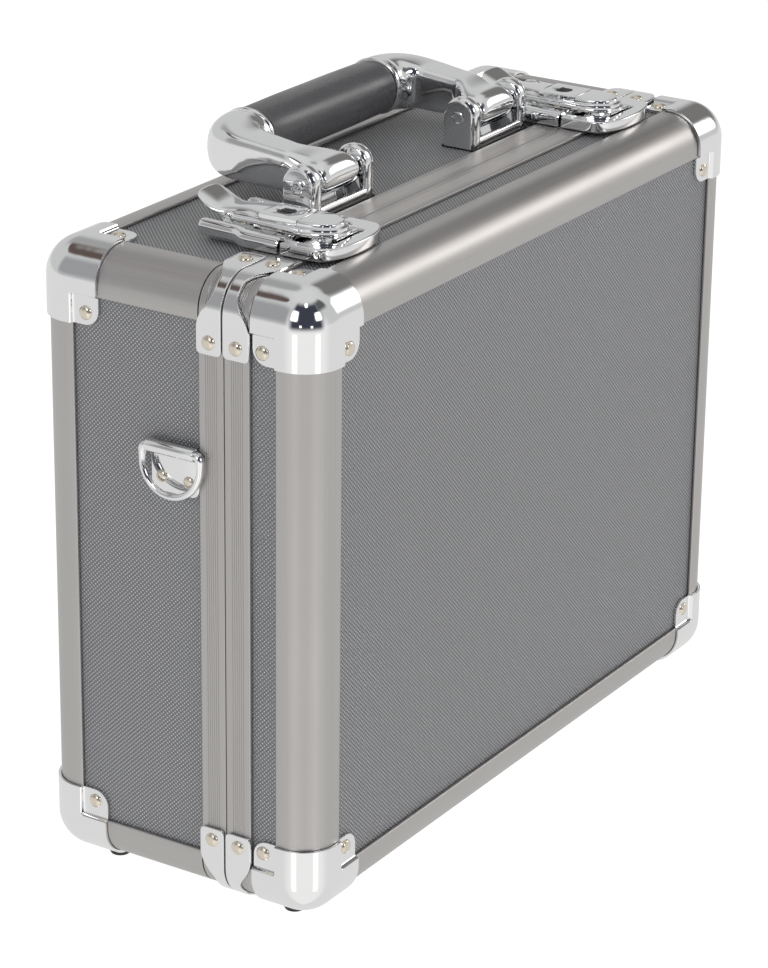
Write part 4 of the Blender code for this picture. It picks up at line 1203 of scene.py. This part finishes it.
# The studio as bright and dark panels: (azimuth, elevation), (half width, half height), softness and
# colour. Azimuths run anticlockwise from +X, and all angles are in degrees.
PANELS = [
    ((-140, -45), (40, 42), 30, (0.95, 0.94, 0.93)),
    ((143, 22), (11, 12), 14, (0.36, 0.36, 0.37)),
    ((100, 51), (28, 2), 5, (0.12, 0.09, 0.08)),
    ((0, 28), (14, 12), 14, (0.20, 0.195, 0.19)),
    ((-80, 50), (12, 6), 12, (0.12, 0.12, 0.13)),
    ((62, 50), (7, 7), 18, (0.38, 0.38, 0.38)),
    ((-142, 27), (37, 26), 17, (0.05, 0.053, 0.075)),
    ((-32, 20), (3, 3), 12, (4.0, 3.9, 3.8)),
    ((-140, 60), (3, 2), 6, (4.0, 4.0, 4.0)),
    ((-178, 28), (4, 7), 9, (4.5, 4.5, 4.5)),
    ((-106, 26), (4, 5), 8, (4.5, 4.5, 4.5)),
    ((-158, 2), (1, 1), 3, (3.0, 3.0, 3.0)),
    ((-128, 1), (1, 1), 3, (3.0, 3.0, 3.0)),
    ((-174, -28), (5, 9), 4, (1.3, 1.3, 1.3)),
    ((-111, -28), (5, 9), 4, (1.35, 1.35, 1.35)),
]
FLOOR_LIGHT = (0.78, 0.78, 0.77)
WALL_LIGHT = (0.62, 0.62, 0.62)
CEILING_LIGHT = (0.70, 0.70, 0.70)


def studio():
    world = bpy.data.worlds.new("studio")
    world.use_nodes = True
    bpy.context.scene.world = world
    tree = world.node_tree
    tree.nodes.clear()
    add = adder(tree)
    facing = add("ShaderNodeTexCoord", output=0)
    x, y, z = add("ShaderNodeSeparateXYZ", {"Vector": facing}).node.outputs
    azimuth = maths(add, "MULTIPLY", maths(add, "ARCTAN2", y, x), 180 / math.pi)
    elevation = maths(add, "MULTIPLY", maths(add, "ARCSINE", z), 180 / math.pi)
    above = remap(add, elevation, -4, 2, 0, 1, smooth=True)
    overhead = remap(add, elevation, 40, 75, 0, 1, smooth=True)
    walls = mixed(add, overhead, WALL_LIGHT, CEILING_LIGHT)
    light = mixed(add, above, FLOOR_LIGHT, walls)
    for (middle, height), (half_width, half_height), soft, colour in PANELS:
        turned = maths(add, "WRAP", maths(add, "SUBTRACT", azimuth, middle), 180, -180)
        beside = remap(add, maths(add, "ABSOLUTE", turned), half_width, half_width + soft, 1, 0, smooth=True)
        raised = maths(add, "ABSOLUTE", maths(add, "SUBTRACT", elevation, height))
        within = remap(add, raised, half_height, half_height + soft, 1, 0, smooth=True)
        mask = maths(add, "MULTIPLY", beside, within)
        light = mixed(add, mask, light, colour)
    background = add("ShaderNodeBackground", {"Color": light, "Strength": 1.0})
    output = tree.nodes.new("ShaderNodeOutputWorld")
    tree.links.new(background, output.inputs["Surface"])


def floor():
    """A pale floor, with a shallow well in front of the body that gives the lid room to swing down."""
    reach, depth = 8, -62 * MM
    inner = [(-0.3, -0.5), (0.3, -0.5), (0.3, SPLIT), (-0.3, SPLIT)]
    outer = [(-reach, -reach), (reach, -reach), (reach, reach), (-reach, reach)]
    bm = bmesh.new()
    levels = ((outer, 0), (inner, 0), (inner, depth))
    loops = [[bm.verts.new((x, y, z)) for x, y in corners] for corners, z in levels]
    skin(bm, loops, closed=True)
    bm.faces.new(loops[2])
    mesh = mesh_from(bm)
    made = bpy.data.materials.new("pale_floor")
    made.use_nodes = True
    tree = made.node_tree
    tree.nodes.clear()
    add = adder(tree)
    paper = mixed(add, noise(add, 3, 2), (0.88, 0.88, 0.88), (0.92, 0.92, 0.92))
    matt = add("ShaderNodeBsdfDiffuse", {"Color": paper})
    glow = add("ShaderNodeEmission", {"Color": (1, 1, 1, 1), "Strength": 1.32})
    surface = add("ShaderNodeMixShader", {0: 0.3, 1: glow, 2: matt})
    tree.links.new(surface, tree.nodes.new("ShaderNodeOutputMaterial").inputs["Surface"])
    mesh.materials.append(made)
    plane = bpy.data.objects.new("floor", mesh)
    bpy.context.scene.collection.objects.link(plane)
    plane.visible_glossy = False


def boards():
    for node in ("body_carcass", "lid_carcass"):
        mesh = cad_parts[node].data
        mesh.materials.clear()
        mesh.materials.append(LAMINATE)


def build():
    boards()
    edge_extrusions()
    corner_posts()
    valances()
    ball_corners()
    valance_brackets()
    feet()
    hinge()
    handle()
    latches()
    strap_rings()
    inside()
    camera()
    studio()
    floor()
    bpy.context.scene.view_settings.view_transform = "Standard"


build()
